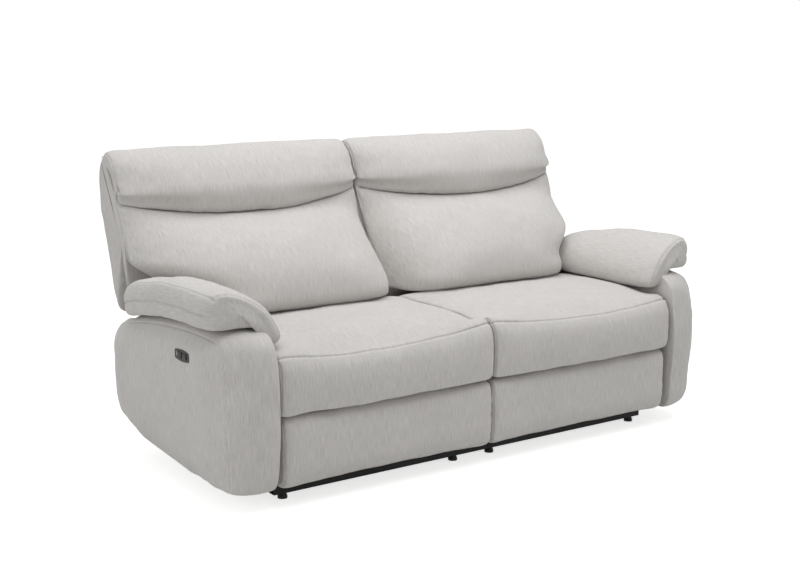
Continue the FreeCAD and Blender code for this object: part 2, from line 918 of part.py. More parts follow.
def headrest_outline(x, inset):
    """The rolled headrest from the side, over the top of the back frame."""
    b = bulge(x, back_mid, (back_out - seat_in) / 2, 4)
    seam = tuck(x)
    base_z = back_frame_top_z + rest_gap
    front_y = frame_y(base_z) - back_frame_thick / 2 - soft_gap
    seam_y = frame_y(seam[1]) - back_frame_thick / 2 - soft_gap
    top = back_top_z - inset - 10 * (1 - b)
    start = (seam[0] + 2 + inset, seam[1])
    steps = [
        ((256 + 62 * (1 - b) + inset, 892), (356 + 18 * (1 - b), 998 - inset)),
        ((424, top), (484 - inset, 984 - inset)),
        (491 - inset, base_z),
        (front_y, base_z),
        (seam_y, seam[1]),
    ]
    return ring(across(x), start, steps)


def headrest_cushion():
    outlines = [headrest_outline(x, inset) for x, inset in stations(seat_in, back_out - seat_in, 15, 50, 6)]
    return Part.makeLoft(outlines, True, False)


def shell_outline(x, inset):
    """The outside of the back, behind its frame."""
    top = back_frame_top_z - soft_gap
    skin = back_frame_thick / 2 + rest_gap
    start = (frame_y(back_low_z) + skin, back_low_z)
    steps = [
        (back_rear_y - 192 - inset, back_low_z),
        ((back_rear_y - 118 - inset, 560), (back_rear_y - 3 - inset, 880)),
        (back_rear_y - 10 - inset, top),
        (frame_y(top) + skin, top),
    ]
    return ring(across(x), start, steps)


def wing_outline(x, inset):
    """The wing that stands over the arm, full thickness from front seam to rear."""
    seam = tuck(x)
    top = seam[1] - soft_gap
    start = (wing_corner[0] + inset, wing_corner[1] + inset)
    steps = [
        ((belly_y(x, 0.0) + inset, belly_z), (seam[0] + inset - 2, top)),
        (frame_y(top) + back_frame_thick / 2, top),
        (frame_y(back_frame_top_z) + back_frame_thick / 2, back_frame_top_z - soft_gap),
        (back_rear_y - 10 - inset, back_frame_top_z - soft_gap),
        (back_rear_y - 3 - inset, 880),
        ((back_rear_y - 60 - inset, 690), (back_rear_y - 140 - inset, 466 + inset)),
    ]
    return ring(across(x), start, steps)


def back_shell():
    """The outside back with its wing, one sewn cover over foam."""
    rear_places = [place for place in stations(seat_in, seat_width, 12, 40, 2) if place[0] < seat_mid]
    rear_places.append((seat_out, 0.0))
    rear = Part.makeLoft([shell_outline(x, inset) for x, inset in rear_places], True, True)
    both_wings = stations(seat_out - wing_width, 2 * wing_width, 14, 30, 4)
    wing_places = [place for place in both_wings if place[0] >= seat_out]
    wing = Part.makeLoft([wing_outline(x, inset) for x, inset in wing_places], True, True)
    return one_piece(rear, wing).cut(headrest_cushion())


# Switch pieces


def switch_bezel():
    """The oval plate with two button pockets and a socket for charging."""
    plate = switch_form(switch_length / 2 - 0.5, switch_height / 2 - 0.5, switch_depth, 3.0)
    face_x = arm_out - 3
    for y in (open_key_y, close_key_y):
        pocket = key_form(y, 2 * button_travel, 1.0, button_gap)
        plate = plate.cut(pocket)
    socket = box((face_x - 8, face_x + 2), (switch_y + 32, switch_y + 40), (switch_z - 7, switch_z + 7))
    return plate.cut(socket)


def key_form(y, behind, ahead, gap):
    """A flat key across the switch, or with room behind, ahead and around it, its pocket."""
    front = arm_out - 3 + button_travel + 0.5
    x = (front - key_thick - behind, front + ahead)
    half_length = key_length / 2 + gap
    half_height = key_height / 2 + gap
    key_y = (switch_y + y - half_length, switch_y + y + half_length)
    return box(x, key_y, (switch_z - half_height, switch_z + half_height))


def button(y):
    key = key_form(y, 0.0, 0.0, 0.0)
    front = [edge for edge in key.Edges if min(v.X for v in edge.Vertexes) > arm_out - 2]
    return key.makeFillet(0.8, front)


write_pair("arm_frame", arm_frame())
write_pair("arm_upholstery", arm_upholstery())
write_pair("arm_pad", arm_pad())
write_pair("switch_bezel", switch_bezel())
write_pair("open_button", button(open_key_y))
write_pair("close_button", button(close_key_y))
write("base_side_rails", group(base_side_rails(), mirrored(base_side_rails())))
write("front_cross_rail", cross_rail(front_rail_y, front_rail_reach))
write("rear_cross_rail", rear_cross_rail())
write("floor_feet", floor_feet())
write("arm_brackets", arm_brackets())
write("rear_panel", rear_panel())
write_pair("actuator", actuator())
write_pair("drive_nut", drive_nut())
write_pair("carriage_plates", carriage_plates())
write_pair("front_rollers", both_sides(roller(-axle_y)))
write_pair("rear_rollers", both_sides(roller(axle_y)))
write_pair("seat_box", seat_box())
write_pair("seat_springs", seat_springs())
write_pair("seat_cushion", seat_cushion())
write_pair("main_links", main_links())
write_pair("rear_links", rear_links())
write_pair("upper_links", upper_links())
write_pair("drag_links", drag_links())
write_pair("flipper_panel", flipper_panel())
write_pair("footrest_brackets", footrest_brackets())
write_pair("footrest_board", footrest_board())
write_pair("footrest_pad", footrest_pad())
write_pair("back_frame", back_frame())
write_pair("back_brackets", back_brackets())
write_pair("back_cushion", back_cushion())
write_pair("headrest_cushion", headrest_cushion())
write_pair("back_shell", back_shell())
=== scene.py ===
import json
import math

import bmesh
import bpy
import numpy as np
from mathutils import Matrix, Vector


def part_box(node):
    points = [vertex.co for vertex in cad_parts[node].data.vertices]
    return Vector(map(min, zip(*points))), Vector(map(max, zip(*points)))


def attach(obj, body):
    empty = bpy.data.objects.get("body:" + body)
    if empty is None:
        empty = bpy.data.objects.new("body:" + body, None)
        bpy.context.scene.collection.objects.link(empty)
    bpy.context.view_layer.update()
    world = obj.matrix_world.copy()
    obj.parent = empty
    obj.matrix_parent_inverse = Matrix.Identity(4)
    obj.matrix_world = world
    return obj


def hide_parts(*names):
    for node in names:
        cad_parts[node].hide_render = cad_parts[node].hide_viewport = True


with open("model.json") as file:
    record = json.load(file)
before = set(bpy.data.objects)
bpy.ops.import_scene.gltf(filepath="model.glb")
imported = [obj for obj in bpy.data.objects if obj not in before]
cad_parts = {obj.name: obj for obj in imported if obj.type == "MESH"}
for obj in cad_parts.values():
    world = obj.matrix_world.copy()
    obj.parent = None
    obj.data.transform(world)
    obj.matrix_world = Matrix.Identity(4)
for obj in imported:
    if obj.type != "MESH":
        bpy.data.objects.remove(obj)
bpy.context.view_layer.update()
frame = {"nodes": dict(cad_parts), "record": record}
print("frame loaded,", len(frame["nodes"]), "nodes")

# Two seat power recliner in slub weave. X to the right, Y to the rear, Z up, metres.
# Everything soft is drawn for the right seat and flipped for the left one.

# widths that several pieces share, from the frame
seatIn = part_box("seat_cushion_right")[0].x
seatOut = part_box("seat_cushion_right")[1].x
seatMid = 0.5 * (seatIn + seatOut)
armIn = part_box("arm_upholstery_right")[0].x
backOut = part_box("headrest_cushion_right")[1].x
backMid = 0.5 * (seatIn + backOut)

seamLines = (0.002, 0.005, 0.011)  # grid lines beside a seam, so that the fold stays crisp


# Colours and nodes


def colour(hexCode):
    parts = [int(hexCode[n:n + 2], 16) / 255 for n in (1, 3, 5)]
    return tuple(p / 12.92 if p <= 0.04045 else ((p + 0.055) / 1.055) ** 2.4 for p in parts) + (1.0,)


def addNode(tree, kind, settings={}, sockets={}):
    node = tree.nodes.new(kind)
    for name, value in settings.items():
        setattr(node, name, value)
    for key, value in sockets.items():
        if isinstance(value, bpy.types.NodeSocket):
            tree.links.new(value, node.inputs[key])
        else:
            node.inputs[key].default_value = value
    return node


def newMaterial(name, finish):
    material = bpy.data.materials.new(name)
    material.use_nodes = True
    tree = material.node_tree
    tree.nodes.clear()
    shader = addNode(tree, "ShaderNodeBsdfPrincipled", {}, finish)
    output = addNode(tree, "ShaderNodeOutputMaterial")
    tree.links.new(shader.outputs[0], output.inputs[0])
    return material, tree, shader


def scaled(tree, vector, sizes):
    return addNode(tree, "ShaderNodeMapping", {}, {0: vector, 3: tuple(1 / s for s in sizes)}).outputs[0]


def noiseAt(tree, vector, detail=2.0, roughness=0.5):
    sockets = {"Vector": vector, "Scale": 1.0, "Detail": detail, "Roughness": roughness}
    return addNode(tree, "ShaderNodeTexNoise", {}, sockets).outputs[0]


def spread(tree, value, low, high, fromLow=0.3, fromHigh=0.7):
    sockets = {0: value, 1: fromLow, 2: fromHigh, 3: low, 4: high}
    return addNode(tree, "ShaderNodeMapRange", {}, sockets).outputs[0]


def product(tree, first, second):
    return addNode(tree, "ShaderNodeMath", {"operation": "MULTIPLY"}, {0: first, 1: second}).outputs[0]


def tinted(tree, hexCode, strength):
    mix = addNode(tree, "ShaderNodeMix", {"data_type": "RGBA", "blend_type": "MULTIPLY"}, {0: 1.0})
    mix.inputs[6].default_value = colour(hexCode)
    grey = addNode(tree, "ShaderNodeCombineColor", {}, {0: strength, 1: strength, 2: strength})
    tree.links.new(grey.outputs[0], mix.inputs[7])
    return mix.outputs[2]


# Materials

weave = {
    "colour": "#cecbc8",
    "threadWidth": 0.0016,     # one warp thread
    "slubWidth": 0.0026,       # thick places in the yarn
    "slubLength": 0.040,
    "mottle": 0.16,
    "sheen": 0.22,
}


def slubWeave():
    # polyester slub upholstery weave: matt, with short paler and darker streaks along the warp
    finish = {"Roughness": 0.88, "Specular IOR Level": 0.25, "Sheen Weight": weave["sheen"]}
    finish["Sheen Roughness"] = 0.5
    material, tree, shader = newMaterial("slubWeave", finish)
    cloth = addNode(tree, "ShaderNodeUVMap", {"uv_map": "weave"}).outputs[0]
    place = addNode(tree, "ShaderNodeTexCoord").outputs["Object"]
    thread = weave["threadWidth"]
    slubs = noiseAt(tree, scaled(tree, cloth, (weave["slubWidth"], weave["slubLength"], 1)), 3.0, 0.62)
    weft = noiseAt(tree, scaled(tree, cloth, (weave["slubLength"] * 0.4, weave["slubWidth"] * 0.6, 1)))
    mottle = noiseAt(tree, scaled(tree, place, (weave["mottle"],) * 3), 2.0)
    tone = product(tree, spread(tree, slubs, 0.86, 1.10), spread(tree, weft, 0.955, 1.03))
    tone = product(tree, tone, spread(tree, mottle, 0.975, 1.02))
    tree.links.new(tinted(tree, weave["colour"], tone), shader.inputs["Base Color"])
    warp = noiseAt(tree, scaled(tree, cloth, (thread, thread * 6, 1)), 2.0)
    fill = noiseAt(tree, scaled(tree, cloth, (thread * 5, thread, 1)), 2.0)
    rough = addNode(tree, "ShaderNodeMath", {"operation": "ADD"}, {0: warp, 1: fill}).outputs[0]
    rough = addNode(tree, "ShaderNodeMath", {"operation": "ADD"}, {0: rough, 1: slubs}).outputs[0]
    bump = addNode(tree, "ShaderNodeBump", {}, {"Strength": 0.55, "Distance": 0.0007, "Height": rough})
    tree.links.new(bump.outputs[0], shader.inputs["Normal"])
    return material


def sewingThread():
    # bonded polyester thread, a shade paler than the cloth
    material, tree, shader = newMaterial("sewingThread", {"Roughness": 0.6, "Sheen Weight": 0.2})
    place = addNode(tree, "ShaderNodeTexCoord").outputs["Object"]
    ply = noiseAt(tree, scaled(tree, place, (0.0008,) * 3))
    tree.links.new(tinted(tree, "#d6d3cd", spread(tree, ply, 0.88, 1.05)), shader.inputs["Base Color"])
    return material


def blackPowderCoat():
    # baked powder on steel: satin black with a faint orange peel
    material, tree, shader = newMaterial("blackPowderCoat", {"Specular IOR Level": 0.2})
    place = addNode(tree, "ShaderNodeTexCoord").outputs["Object"]
    peel = noiseAt(tree, scaled(tree, place, (0.0022,) * 3))
    dust = noiseAt(tree, scaled(tree, place, (0.05,) * 3), 4.0)
    tree.links.new(tinted(tree, "#0d0d0c", spread(tree, dust, 0.85, 1.25)), shader.inputs["Base Color"])
    tree.links.new(spread(tree, dust, 0.45, 0.6), shader.inputs["Roughness"])
    bump = addNode(tree, "ShaderNodeBump", {}, {"Strength": 0.25, "Distance": 0.0003, "Height": peel})
    tree.links.new(bump.outputs[0], shader.inputs["Normal"])
    return material


def zincPlate():
    # bright zinc on pressed steel: bluish grey with a cloudy passivated film
    material, tree, shader = newMaterial("zincPlate", {"Metallic": 1.0})
    place = addNode(tree, "ShaderNodeTexCoord").outputs["Object"]
    cloud = noiseAt(tree, scaled(tree, place, (0.03,) * 3), 4.0)
    grain = noiseAt(tree, scaled(tree, place, (0.0012, 0.014, 0.014)), 2.0)
    tree.links.new(tinted(tree, "#bfc1c0", spread(tree, cloud, 0.82, 1.05)), shader.inputs["Base Color"])
    tree.links.new(spread(tree, grain, 0.26, 0.44), shader.inputs["Roughness"])
    bump = addNode(tree, "ShaderNodeBump", {}, {"Strength": 0.15, "Distance": 0.0002, "Height": grain})
    tree.links.new(bump.outputs[0], shader.inputs["Normal"])
    return material


def springSteel():
    # oil tempered wire: dark blue grey with thin oil sheen
    material, tree, shader = newMaterial("springSteel", {"Metallic": 1.0})
    place = addNode(tree, "ShaderNodeTexCoord").outputs["Object"]
    oil = noiseAt(tree, scaled(tree, place, (0.02,) * 3), 3.0)
    tree.links.new(tinted(tree, "#6b6c70", spread(tree, oil, 0.7, 1.1)), shader.inputs["Base Color"])
    tree.links.new(spread(tree, oil, 0.25, 0.5), shader.inputs["Roughness"])
    return material


def sawnPine():
    # planed pine and plywood: pale, with darker late wood lines along the board
    material, tree, shader = newMaterial("sawnPine", {"Roughness": 0.62, "Specular IOR Level": 0.3})
    place = addNode(tree, "ShaderNodeTexCoord").outputs["Object"]
    grain = noiseAt(tree, scaled(tree, place, (0.30, 0.012, 0.006)), 4.0, 0.6)
    pores = noiseAt(tree, scaled(tree, place, (0.020, 0.0012, 0.0012)), 2.0)
    tone = product(tree, spread(tree, grain, 0.66, 1.1), spread(tree, pores, 0.9, 1.04))
    tree.links.new(tinted(tree, "#cfae7c", tone), shader.inputs["Base Color"])
    bump = addNode(tree, "ShaderNodeBump", {}, {"Strength": 0.3, "Distance": 0.0004, "Height": pores})
    tree.links.new(bump.outputs[0], shader.inputs["Normal"])
    return material


def whiteNylon():
    # machined nylon: creamy white, waxy
    material, tree, shader = newMaterial("whiteNylon", {"Roughness": 0.42, "Subsurface Weight": 0.1})
    place = addNode(tree, "ShaderNodeTexCoord").outputs["Object"]
    tone = noiseAt(tree, scaled(tree, place, (0.012,) * 3), 3.0)
    tree.links.new(tinted(tree, "#e6e2d6", spread(tree, tone, 0.93, 1.02)), shader.inputs["Base Color"])
    return material


def mouldedAbs():
    # black moulded ABS with a fine spark texture
    material, tree, shader = newMaterial("mouldedAbs", {"Specular IOR Level": 0.25})
    place = addNode(tree, "ShaderNodeTexCoord").outputs["Object"]
    spark = noiseAt(tree, scaled(tree, place, (0.0009,) * 3), 2.0)
    wear = noiseAt(tree, scaled(tree, place, (0.02,) * 3), 3.0)
    tree.links.new(tinted(tree, "#12110f", spread(tree, wear, 0.9, 1.15)), shader.inputs["Base Color"])
    tree.links.new(spread(tree, wear, 0.36, 0.5), shader.inputs["Roughness"])
    bump = addNode(tree, "ShaderNodeBump", {}, {"Strength": 0.3, "Distance": 0.0002, "Height": spark})
    tree.links.new(bump.outputs[0], shader.inputs["Normal"])
    return material


cover = slubWeave()
threadFinish = sewingThread()
slotFinish = {
    "cover": cover,
    "timber": sawnPine(),
    "black_steel": blackPowderCoat(),
    "zinc_steel": zincPlate(),
    "black_plastic": mouldedAbs(),
    "nylon": whiteNylon(),
    "spring_steel": springSteel(),
}
for part in frame["record"]["subparts"]:
    cadMesh = frame["nodes"][part["node"]].data
    cadMesh.materials.clear()
    cadMesh.materials.append(slotFinish[part["material_slot"]])
print("materials ready")


# Outlines


def smoothLine(points, perSpan=16):
    p = np.array(points, dtype=float)
    if len(p) == 2:
        return p[0] + np.linspace(0, 1, perSpan + 1)[:, None] * (p[1] - p[0])
    t = np.concatenate(([0.0], np.cumsum(np.linalg.norm(np.diff(p, axis=0), axis=1) ** 0.5)))
    slope = np.gradient(p, t, axis=0, edge_order=2)
    s = np.linspace(0, 1, perSpan, endpoint=False)[:, None]
    spans = []
    for k in range(len(p) - 1):
        h = t[k + 1] - t[k]
        start = (1 + 2 * s) * (1 - s) ** 2 * p[k] + s * (1 - s) ** 2 * h * slope[k]
        end = s ** 2 * (3 - 2 * s) * p[k + 1] + s ** 2 * (s - 1) * h * slope[k + 1]
        spans.append(start + end)
    return np.concatenate(spans + [p[-1:]])


def splitLine(line, cells, seamAtStart, seamAtEnd):
    # points along a line, closer together beside a seam, without the last one
    reach = np.concatenate(([0.0], np.cumsum(np.linalg.norm(np.diff(line, axis=0), axis=1))))
    low = seamLines[-1] if seamAtStart else 0.0
    high = reach[-1] - (seamLines[-1] if seamAtEnd else 0.0)
    places = list(np.linspace(low, high, cells + 1))
    if seamAtStart:
        places = [0.0] + list(seamLines[:-1]) + places
    if seamAtEnd:
        places = places + [reach[-1] - d for d in seamLines[-2::-1]]
    else:
        places = places[:-1]
    return np.stack([np.interp(places, reach, line[:, axis]) for axis in range(line.shape[1])], axis=1)


def outline(*parts):
    # a closed ring of parts, each (points, cells, seam at its start), and where each part starts
    ring, marks = [], []
    for number, (points, cells, seam) in enumerate(parts):
        nextSeam = parts[(number + 1) % len(parts)][2]
        marks.append(sum(len(piece) for piece in ring))
        ring.append(splitLine(smoothLine(points), cells, seam, nextSeam))
    return np.concatenate(ring), marks


def drawnIn(ring, amount):
    ahead = np.roll(ring, -1, axis=0) - np.roll(ring, 1, axis=0)
    ahead /= np.linalg.norm(ahead, axis=1)[:, None] + 1e-9
    turn = np.sum(ring[:, 0] * np.roll(ring[:, 1], -1) - np.roll(ring[:, 0], -1) * ring[:, 1])
    outward = np.stack((ahead[:, 1], -ahead[:, 0]), axis=1) * np.sign(turn)
    return ring - np.asarray(amount).reshape(-1, 1) * outward


def stations(low, high, draw, roll, cells):
    # places across a cushion and how far its outline is drawn in there
    near = [0.0] + list(seamLines) + [roll * share for share in (0.45, 0.7, 1.0)]
    middle = list(np.linspace(low + roll, high - roll, cells + 1))[1:-1]
    places = [low + d for d in near] + middle + [high - d for d in near[::-1]]
    result = []
    for place in places:
        toEnd = min(place - low, high - place, roll) / roll
        result.append((place, draw * (1 - math.sqrt(max(0.0, 1 - (1 - toEnd) ** 2)))))
    return result


def bulge(share, power):
    return 1 - min(1.0, abs(share)) ** power


def between(low, high, value):
    t = np.clip((value - low) / (high - low), 0, 1)
    return t * t * (3 - 2 * t)


# Closed grids: rows of points, each a ring, with the two ends closed by shrinking rings


def capRows(edge, centre, swell, reach, rings):
    centre = np.array(centre, dtype=float)
    toCentre = centre - edge
    length = np.linalg.norm(toCentre, axis=1)[:, None]
    rows = []
    shares = [d / length for d in seamLines + (0.022,)]
    shares += [np.full_like(length, share) for share in np.linspace(0, 0.96, rings + 1)[1:]]
    shares = [np.minimum(share, 0.96) for share in shares]
    for number in range(1, len(shares)):
        shares[number] = np.maximum(shares[number], shares[number - 1] + 0.004)
    for share in shares:
        away = np.minimum(1.0, share * length / reach)
        rows.append(edge + toCentre * share + np.array(swell) * (1 - (1 - away) ** 2))
    return rows


def closedGrid(walls, lowCentre, highCentre, lowSwell, highSwell, reach=0.06, rings=(5, 5)):
    low = capRows(walls[0], lowCentre, lowSwell, reach, rings[0])
    high = capRows(walls[-1], highCentre, highSwell, reach, rings[1])
    return np.array(low[::-1] + list(walls) + high), len(low), len(high)


def softNoise(points, size, seed):
    # a smooth random field made of plane waves, about -1 to 1
    random = np.random.RandomState(seed)
    field = np.zeros(points.shape[:-1])
    for wave in range(14):
        direction = random.normal(size=3)
        direction *= 2 * math.pi / (size * random.uniform(0.7, 1.6) * np.linalg.norm(direction))
        field += np.sin(points @ direction + random.uniform(0, 2 * math.pi))
    return field / math.sqrt(14)


def gathers(along, away, pitch, height, reach, seed):
    # folds that run away from a seam, uneven in width and height
    random = np.random.RandomState(seed)
    count = int((along.max() - along.min()) / (0.6 * pitch)) + 3
    knots = along.min() - pitch + np.cumsum(random.uniform(0.6, 1.5, count) * pitch)
    phase = np.interp(along, knots, np.arange(count) * 2 * math.pi)
    strength = np.interp(along, knots, random.uniform(0.15, 1.0, count))
    return height * strength * np.cos(phase) * np.exp(-(np.abs(away) / reach) ** 1.3)


def girthAlong(grid):
    # distance round the middle ring of a grid
    steps = np.linalg.norm(np.diff(grid[len(grid) // 2], axis=0), axis=1)
    return np.concatenate(([0.0], np.cumsum(steps)))


def gridFaces(rows, columns):
    faces = []
    for i in range(rows - 1):
        for j in range(columns):
            k = (j + 1) % columns
            faces.append((i * columns + j, i * columns + k, (i + 1) * columns + k, (i + 1) * columns + j))
    for row in (0, rows - 1):  # zip each last ring shut
        for j in range(columns // 2):
            corners = [j, (j + 1) % columns, (-j - 2) % columns, (-j - 1) % columns]
            corners = [row * columns + c for c in dict.fromkeys(corners)]
            if len(corners) > 2:
                faces.append(tuple(corners if row else corners[::-1]))
    return faces


def gridMesh(name, grid):
    rows, columns = grid.shape[:2]
    mesh = bpy.data.meshes.new(name)
    mesh.from_pydata(grid.reshape(-1, 3).tolist(), [], gridFaces(rows, columns))
    form = bmesh.new()
    form.from_mesh(mesh)
    if form.calc_volume(signed=True) < 0:
        bmesh.ops.reverse_faces(form, faces=form.faces)
    form.to_mesh(mesh)
    form.free()
    return mesh


def outwards(grid):
    # unit normals of the grid's points
    down = np.gradient(grid, axis=0)
    round_ = np.roll(grid, -1, axis=1) - np.roll(grid, 1, axis=1)
    normal = np.cross(down, round_)
    normal /= np.linalg.norm(normal, axis=2)[:, :, None] + 1e-12
    middle = grid.reshape(-1, 3).mean(axis=0)
    if np.sum(normal * (grid - middle)) < 0:
        normal = -normal
    return normal


def inflate(grid, held, cloth):
    # lets the cover blow up between its seams like a filled cushion, and gives the grid with each point where
    # it comes to rest
    rowsPick = np.unique(np.append(np.arange(0, len(grid), 2), len(grid) - 1))
    columnsPick = np.arange(0, grid.shape[1], 2)
    coarse = grid[rowsPick][:, columnsPick]
    trial = bpy.data.objects.new("trial", gridMesh("trial", coarse))
    bpy.context.scene.collection.objects.link(trial)
    pins = trial.vertex_groups.new(name="held")
    flatHeld = held[rowsPick][:, columnsPick].reshape(-1)
    for strength in np.unique(np.round(flatHeld, 1)):
        chosen = np.nonzero(np.round(flatHeld, 1) == strength)[0].tolist()
        pins.add(chosen, float(strength), "REPLACE")
    modifier = trial.modifiers.new("cloth", "CLOTH")
    settings = modifier.settings
    settings.quality = 5
    settings.mass = 0.3
    settings.tension_stiffness = cloth["stiff"]
    settings.compression_stiffness = cloth["stiff"]
    settings.bending_stiffness = cloth["bend"]
    settings.shrink_min = cloth["shrink"]
    settings.vertex_group_mass = "held"
    settings.use_pressure = True
    settings.uniform_pressure_force = cloth["pressure"]
    settings.effector_weights.gravity = 0.0
    modifier.point_cache.frame_start = 1
    modifier.point_cache.frame_end = 20
    for number in range(1, 21):
        bpy.context.scene.frame_set(number)
    evaluated = trial.evaluated_get(bpy.context.evaluated_depsgraph_get())
    flat = np.zeros(len(evaluated.data.vertices) * 3)
    evaluated.data.vertices.foreach_get("co", flat)
    bpy.context.scene.frame_set(1)
    bpy.data.objects.remove(trial)
    move = flat.reshape(coarse.shape) - coarse
    move = np.nan_to_num(move)
    length = np.linalg.norm(move, axis=2)[:, :, None]
    move *= np.minimum(1.0, cloth["most"] / (length + 1e-9))
    move = softened(move, 4, 0.25 + 0.75 * held[rowsPick][:, columnsPick])
    wrapped = np.append(columnsPick, grid.shape[1])
    allRows = np.arange(len(grid))
    allColumns = np.arange(grid.shape[1])
    result = np.zeros_like(grid)
    for axis in range(3):
        rowsDone = np.stack([np.interp(allRows, rowsPick, line) for line in move[:, :, axis].T], axis=1)
        rowsDone = np.concatenate((rowsDone, rowsDone[:, :1]), axis=1)
        result[:, :, axis] = np.stack([np.interp(allColumns, wrapped, line) for line in rowsDone])
    return grid + result


def softened(grid, times, keep):
    # evens a grid out, more where keep is near 0
    for turn in range(times):
        middle = 0.25 * (np.roll(grid, 1, axis=1) + np.roll(grid, -1, axis=1))
        middle[1:-1] += 0.25 * (grid[:-2] + grid[2:])
        middle[0], middle[-1] = grid[0], grid[-1]
        grid = keep[:, :, None] * grid + (1 - keep[:, :, None]) * middle
    return grid


def seamDepth(shape, rowSeams, columnSeams, depth):
    # the valley of a sewn seam with its small lips, as depths for each grid point
    profile = {0: -depth, 1: -0.45 * depth, 2: 0.16 * depth, 3: 0.12 * depth}
    field = np.zeros(shape)
    for seam in columnSeams:
        for step, value in profile.items():
            for column in {(seam + step) % shape[1], (seam - step) % shape[1]}:
                field[:, column] += value
    for seam in rowSeams:
        for step, value in profile.items():
            for row in {seam + step, seam - step}:
                field[row] = np.minimum(field[row], 0) + value if value < 0 else field[row] + value
    return field


def upholstered(name, grid, caps, alongY=False, levels=1, sideUv="yz"):
    # makes the finished object with its weave coordinates in metres
    rows, columns = grid.shape[:2]
    closed = np.concatenate((grid, grid[:, :1]), axis=1)
    round_ = np.linalg.norm(np.diff(closed, axis=1), axis=2).mean(axis=0)
    girth = np.concatenate(([0.0], np.cumsum(round_)))
    across = 1 if alongY else 0
    wall = np.zeros((rows, columns + 1, 2))
    wall[:, :, 0 if not alongY else 1] = closed[:, :, across]
    wall[:, :, 1 if not alongY else 0] = girth[None, :]
    side = closed[:, :, [("xyz").index(letter) for letter in sideUv]]
    mesh = bpy.data.meshes.new(name)
    faces = gridFaces(rows, columns)
    mesh.from_pydata(grid.reshape(-1, 3).tolist(), [], faces)
    coords = []
    wallFaces = (rows - 1) * columns
    for number, face in enumerate(faces):
        i, j = divmod(number, columns)
        if number < wallFaces and caps[0] <= i < rows - 1 - caps[1]:
            coords += [wall[i, j], wall[i, j + 1], wall[i + 1, j + 1], wall[i + 1, j]]
        elif number < wallFaces:
            coords += [side[i, j], side[i, j + 1], side[i + 1, j + 1], side[i + 1, j]]
        else:
            coords += [side[point // columns, point % columns] for point in face]
    layer = mesh.uv_layers.new(name="weave")
    layer.data.foreach_set("uv", np.array(coords, dtype=np.float32).reshape(-1))
    form = bmesh.new()
    form.from_mesh(mesh)
    if form.calc_volume(signed=True) < 0:
        bmesh.ops.reverse_faces(form, faces=form.faces)
    form.to_mesh(mesh)
    form.free()
    mesh.materials.append(cover)
    mesh.shade_smooth()
    piece = bpy.data.objects.new(name, mesh)
    bpy.context.scene.collection.objects.link(piece)
    if levels:
        finer = piece.modifiers.new("finer", "SUBSURF")
        finer.levels = levels
        finer.render_levels = levels
        applied(piece)
    return piece


def applied(piece):
    # turns the piece with its modifiers into a plain mesh
    evaluated = piece.evaluated_get(bpy.context.evaluated_depsgraph_get())
    mesh = bpy.data.meshes.new_from_object(evaluated)
    piece.modifiers.clear()
    old = piece.data
    piece.data = mesh
    bpy.data.meshes.remove(old)
    mesh.name = piece.name
    mesh.shade_smooth()


def flipped(grid):
    return grid * np.array([-1.0, 1.0, 1.0])


def dressed(piece, side, body, nodes):
    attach(piece, body)
    if nodes:
        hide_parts(*[node + "_" + side for node in nodes])


# Stitches: a row of small rounded threads laid along a path


def stitchTree():
    tree = bpy.data.node_groups.new("stitchRow", "GeometryNodeTree")
    face = tree.interface
    face.new_socket(name="Path", in_out="INPUT", socket_type="NodeSocketGeometry")
    pitch = face.new_socket(name="Stitch pitch", in_out="INPUT", socket_type="NodeSocketFloat")
    length = face.new_socket(name="Stitch length", in_out="INPUT", socket_type="NodeSocketFloat")
    width = face.new_socket(name="Thread width", in_out="INPUT", socket_type="NodeSocketFloat")
    finish = face.new_socket(name="Finish", in_out="INPUT", socket_type="NodeSocketMaterial")
    face.new_socket(name="Stitches", in_out="OUTPUT", socket_type="NodeSocketGeometry")
    given = addNode(tree, "NodeGroupInput").outputs
    curve = addNode(tree, "GeometryNodeMeshToCurve", {}, {"Mesh": given["Path"]}).outputs[0]
    points = addNode(tree, "GeometryNodeCurveToPoints", {"mode": "LENGTH"}, {
        "Curve": curve, "Length": given["Stitch pitch"]})
    turn = addNode(tree, "FunctionNodeAlignRotationToVector", {"axis": "Z"}, {
        "Vector": points.outputs["Tangent"]})
    bead = addNode(tree, "GeometryNodeMeshUVSphere", {}, {"Segments": 6, "Rings": 4, "Radius": 0.5})
    size = addNode(tree, "ShaderNodeCombineXYZ", {}, {
        0: given["Thread width"], 1: given["Thread width"], 2: given["Stitch length"]})
    sockets = {"Points": points.outputs["Points"], "Instance": bead.outputs["Mesh"]}
    sockets.update({"Rotation": turn.outputs[0], "Scale": size.outputs[0]})
    placed = addNode(tree, "GeometryNodeInstanceOnPoints", {}, sockets)
    real = addNode(tree, "GeometryNodeRealizeInstances", {}, {0: placed.outputs[0]})
    painted = addNode(tree, "GeometryNodeSetMaterial", {}, {
        "Geometry": real.outputs[0], "Material": given["Finish"]})
    output = addNode(tree, "NodeGroupOutput")
    tree.links.new(painted.outputs[0], output.inputs[0])
    return tree, pitch.identifier, length.identifier, width.identifier, finish.identifier


stitch = {"pitch": 0.0075, "length": 0.0058, "width": 0.0011}
stitchNodes, pitchInput, lengthInput, widthInput, finishInput = stitchTree()


def stitched(name, paths, body, side):
    # one object of stitches for all the rows on one body
    points, edges = [], []
    for path in paths:
        first = len(points)
        points += [tuple(point) for point in path]
        edges += [(first + n, first + n + 1) for n in range(len(path) - 1)]
    mesh = bpy.data.meshes.new(name)
    mesh.from_pydata(points, edges, [])
    piece = bpy.data.objects.new(name, mesh)
    bpy.context.scene.collection.objects.link(piece)
    modifier = piece.modifiers.new("stitches", "NODES")
    modifier.node_group = stitchNodes
    modifier[pitchInput] = stitch["pitch"]
    modifier[lengthInput] = stitch["length"]
    modifier[widthInput] = stitch["width"]
    modifier[finishInput] = threadFinish
    applied(piece)
    dressed(piece, side, body, [])
    return piece


# Seat cushion

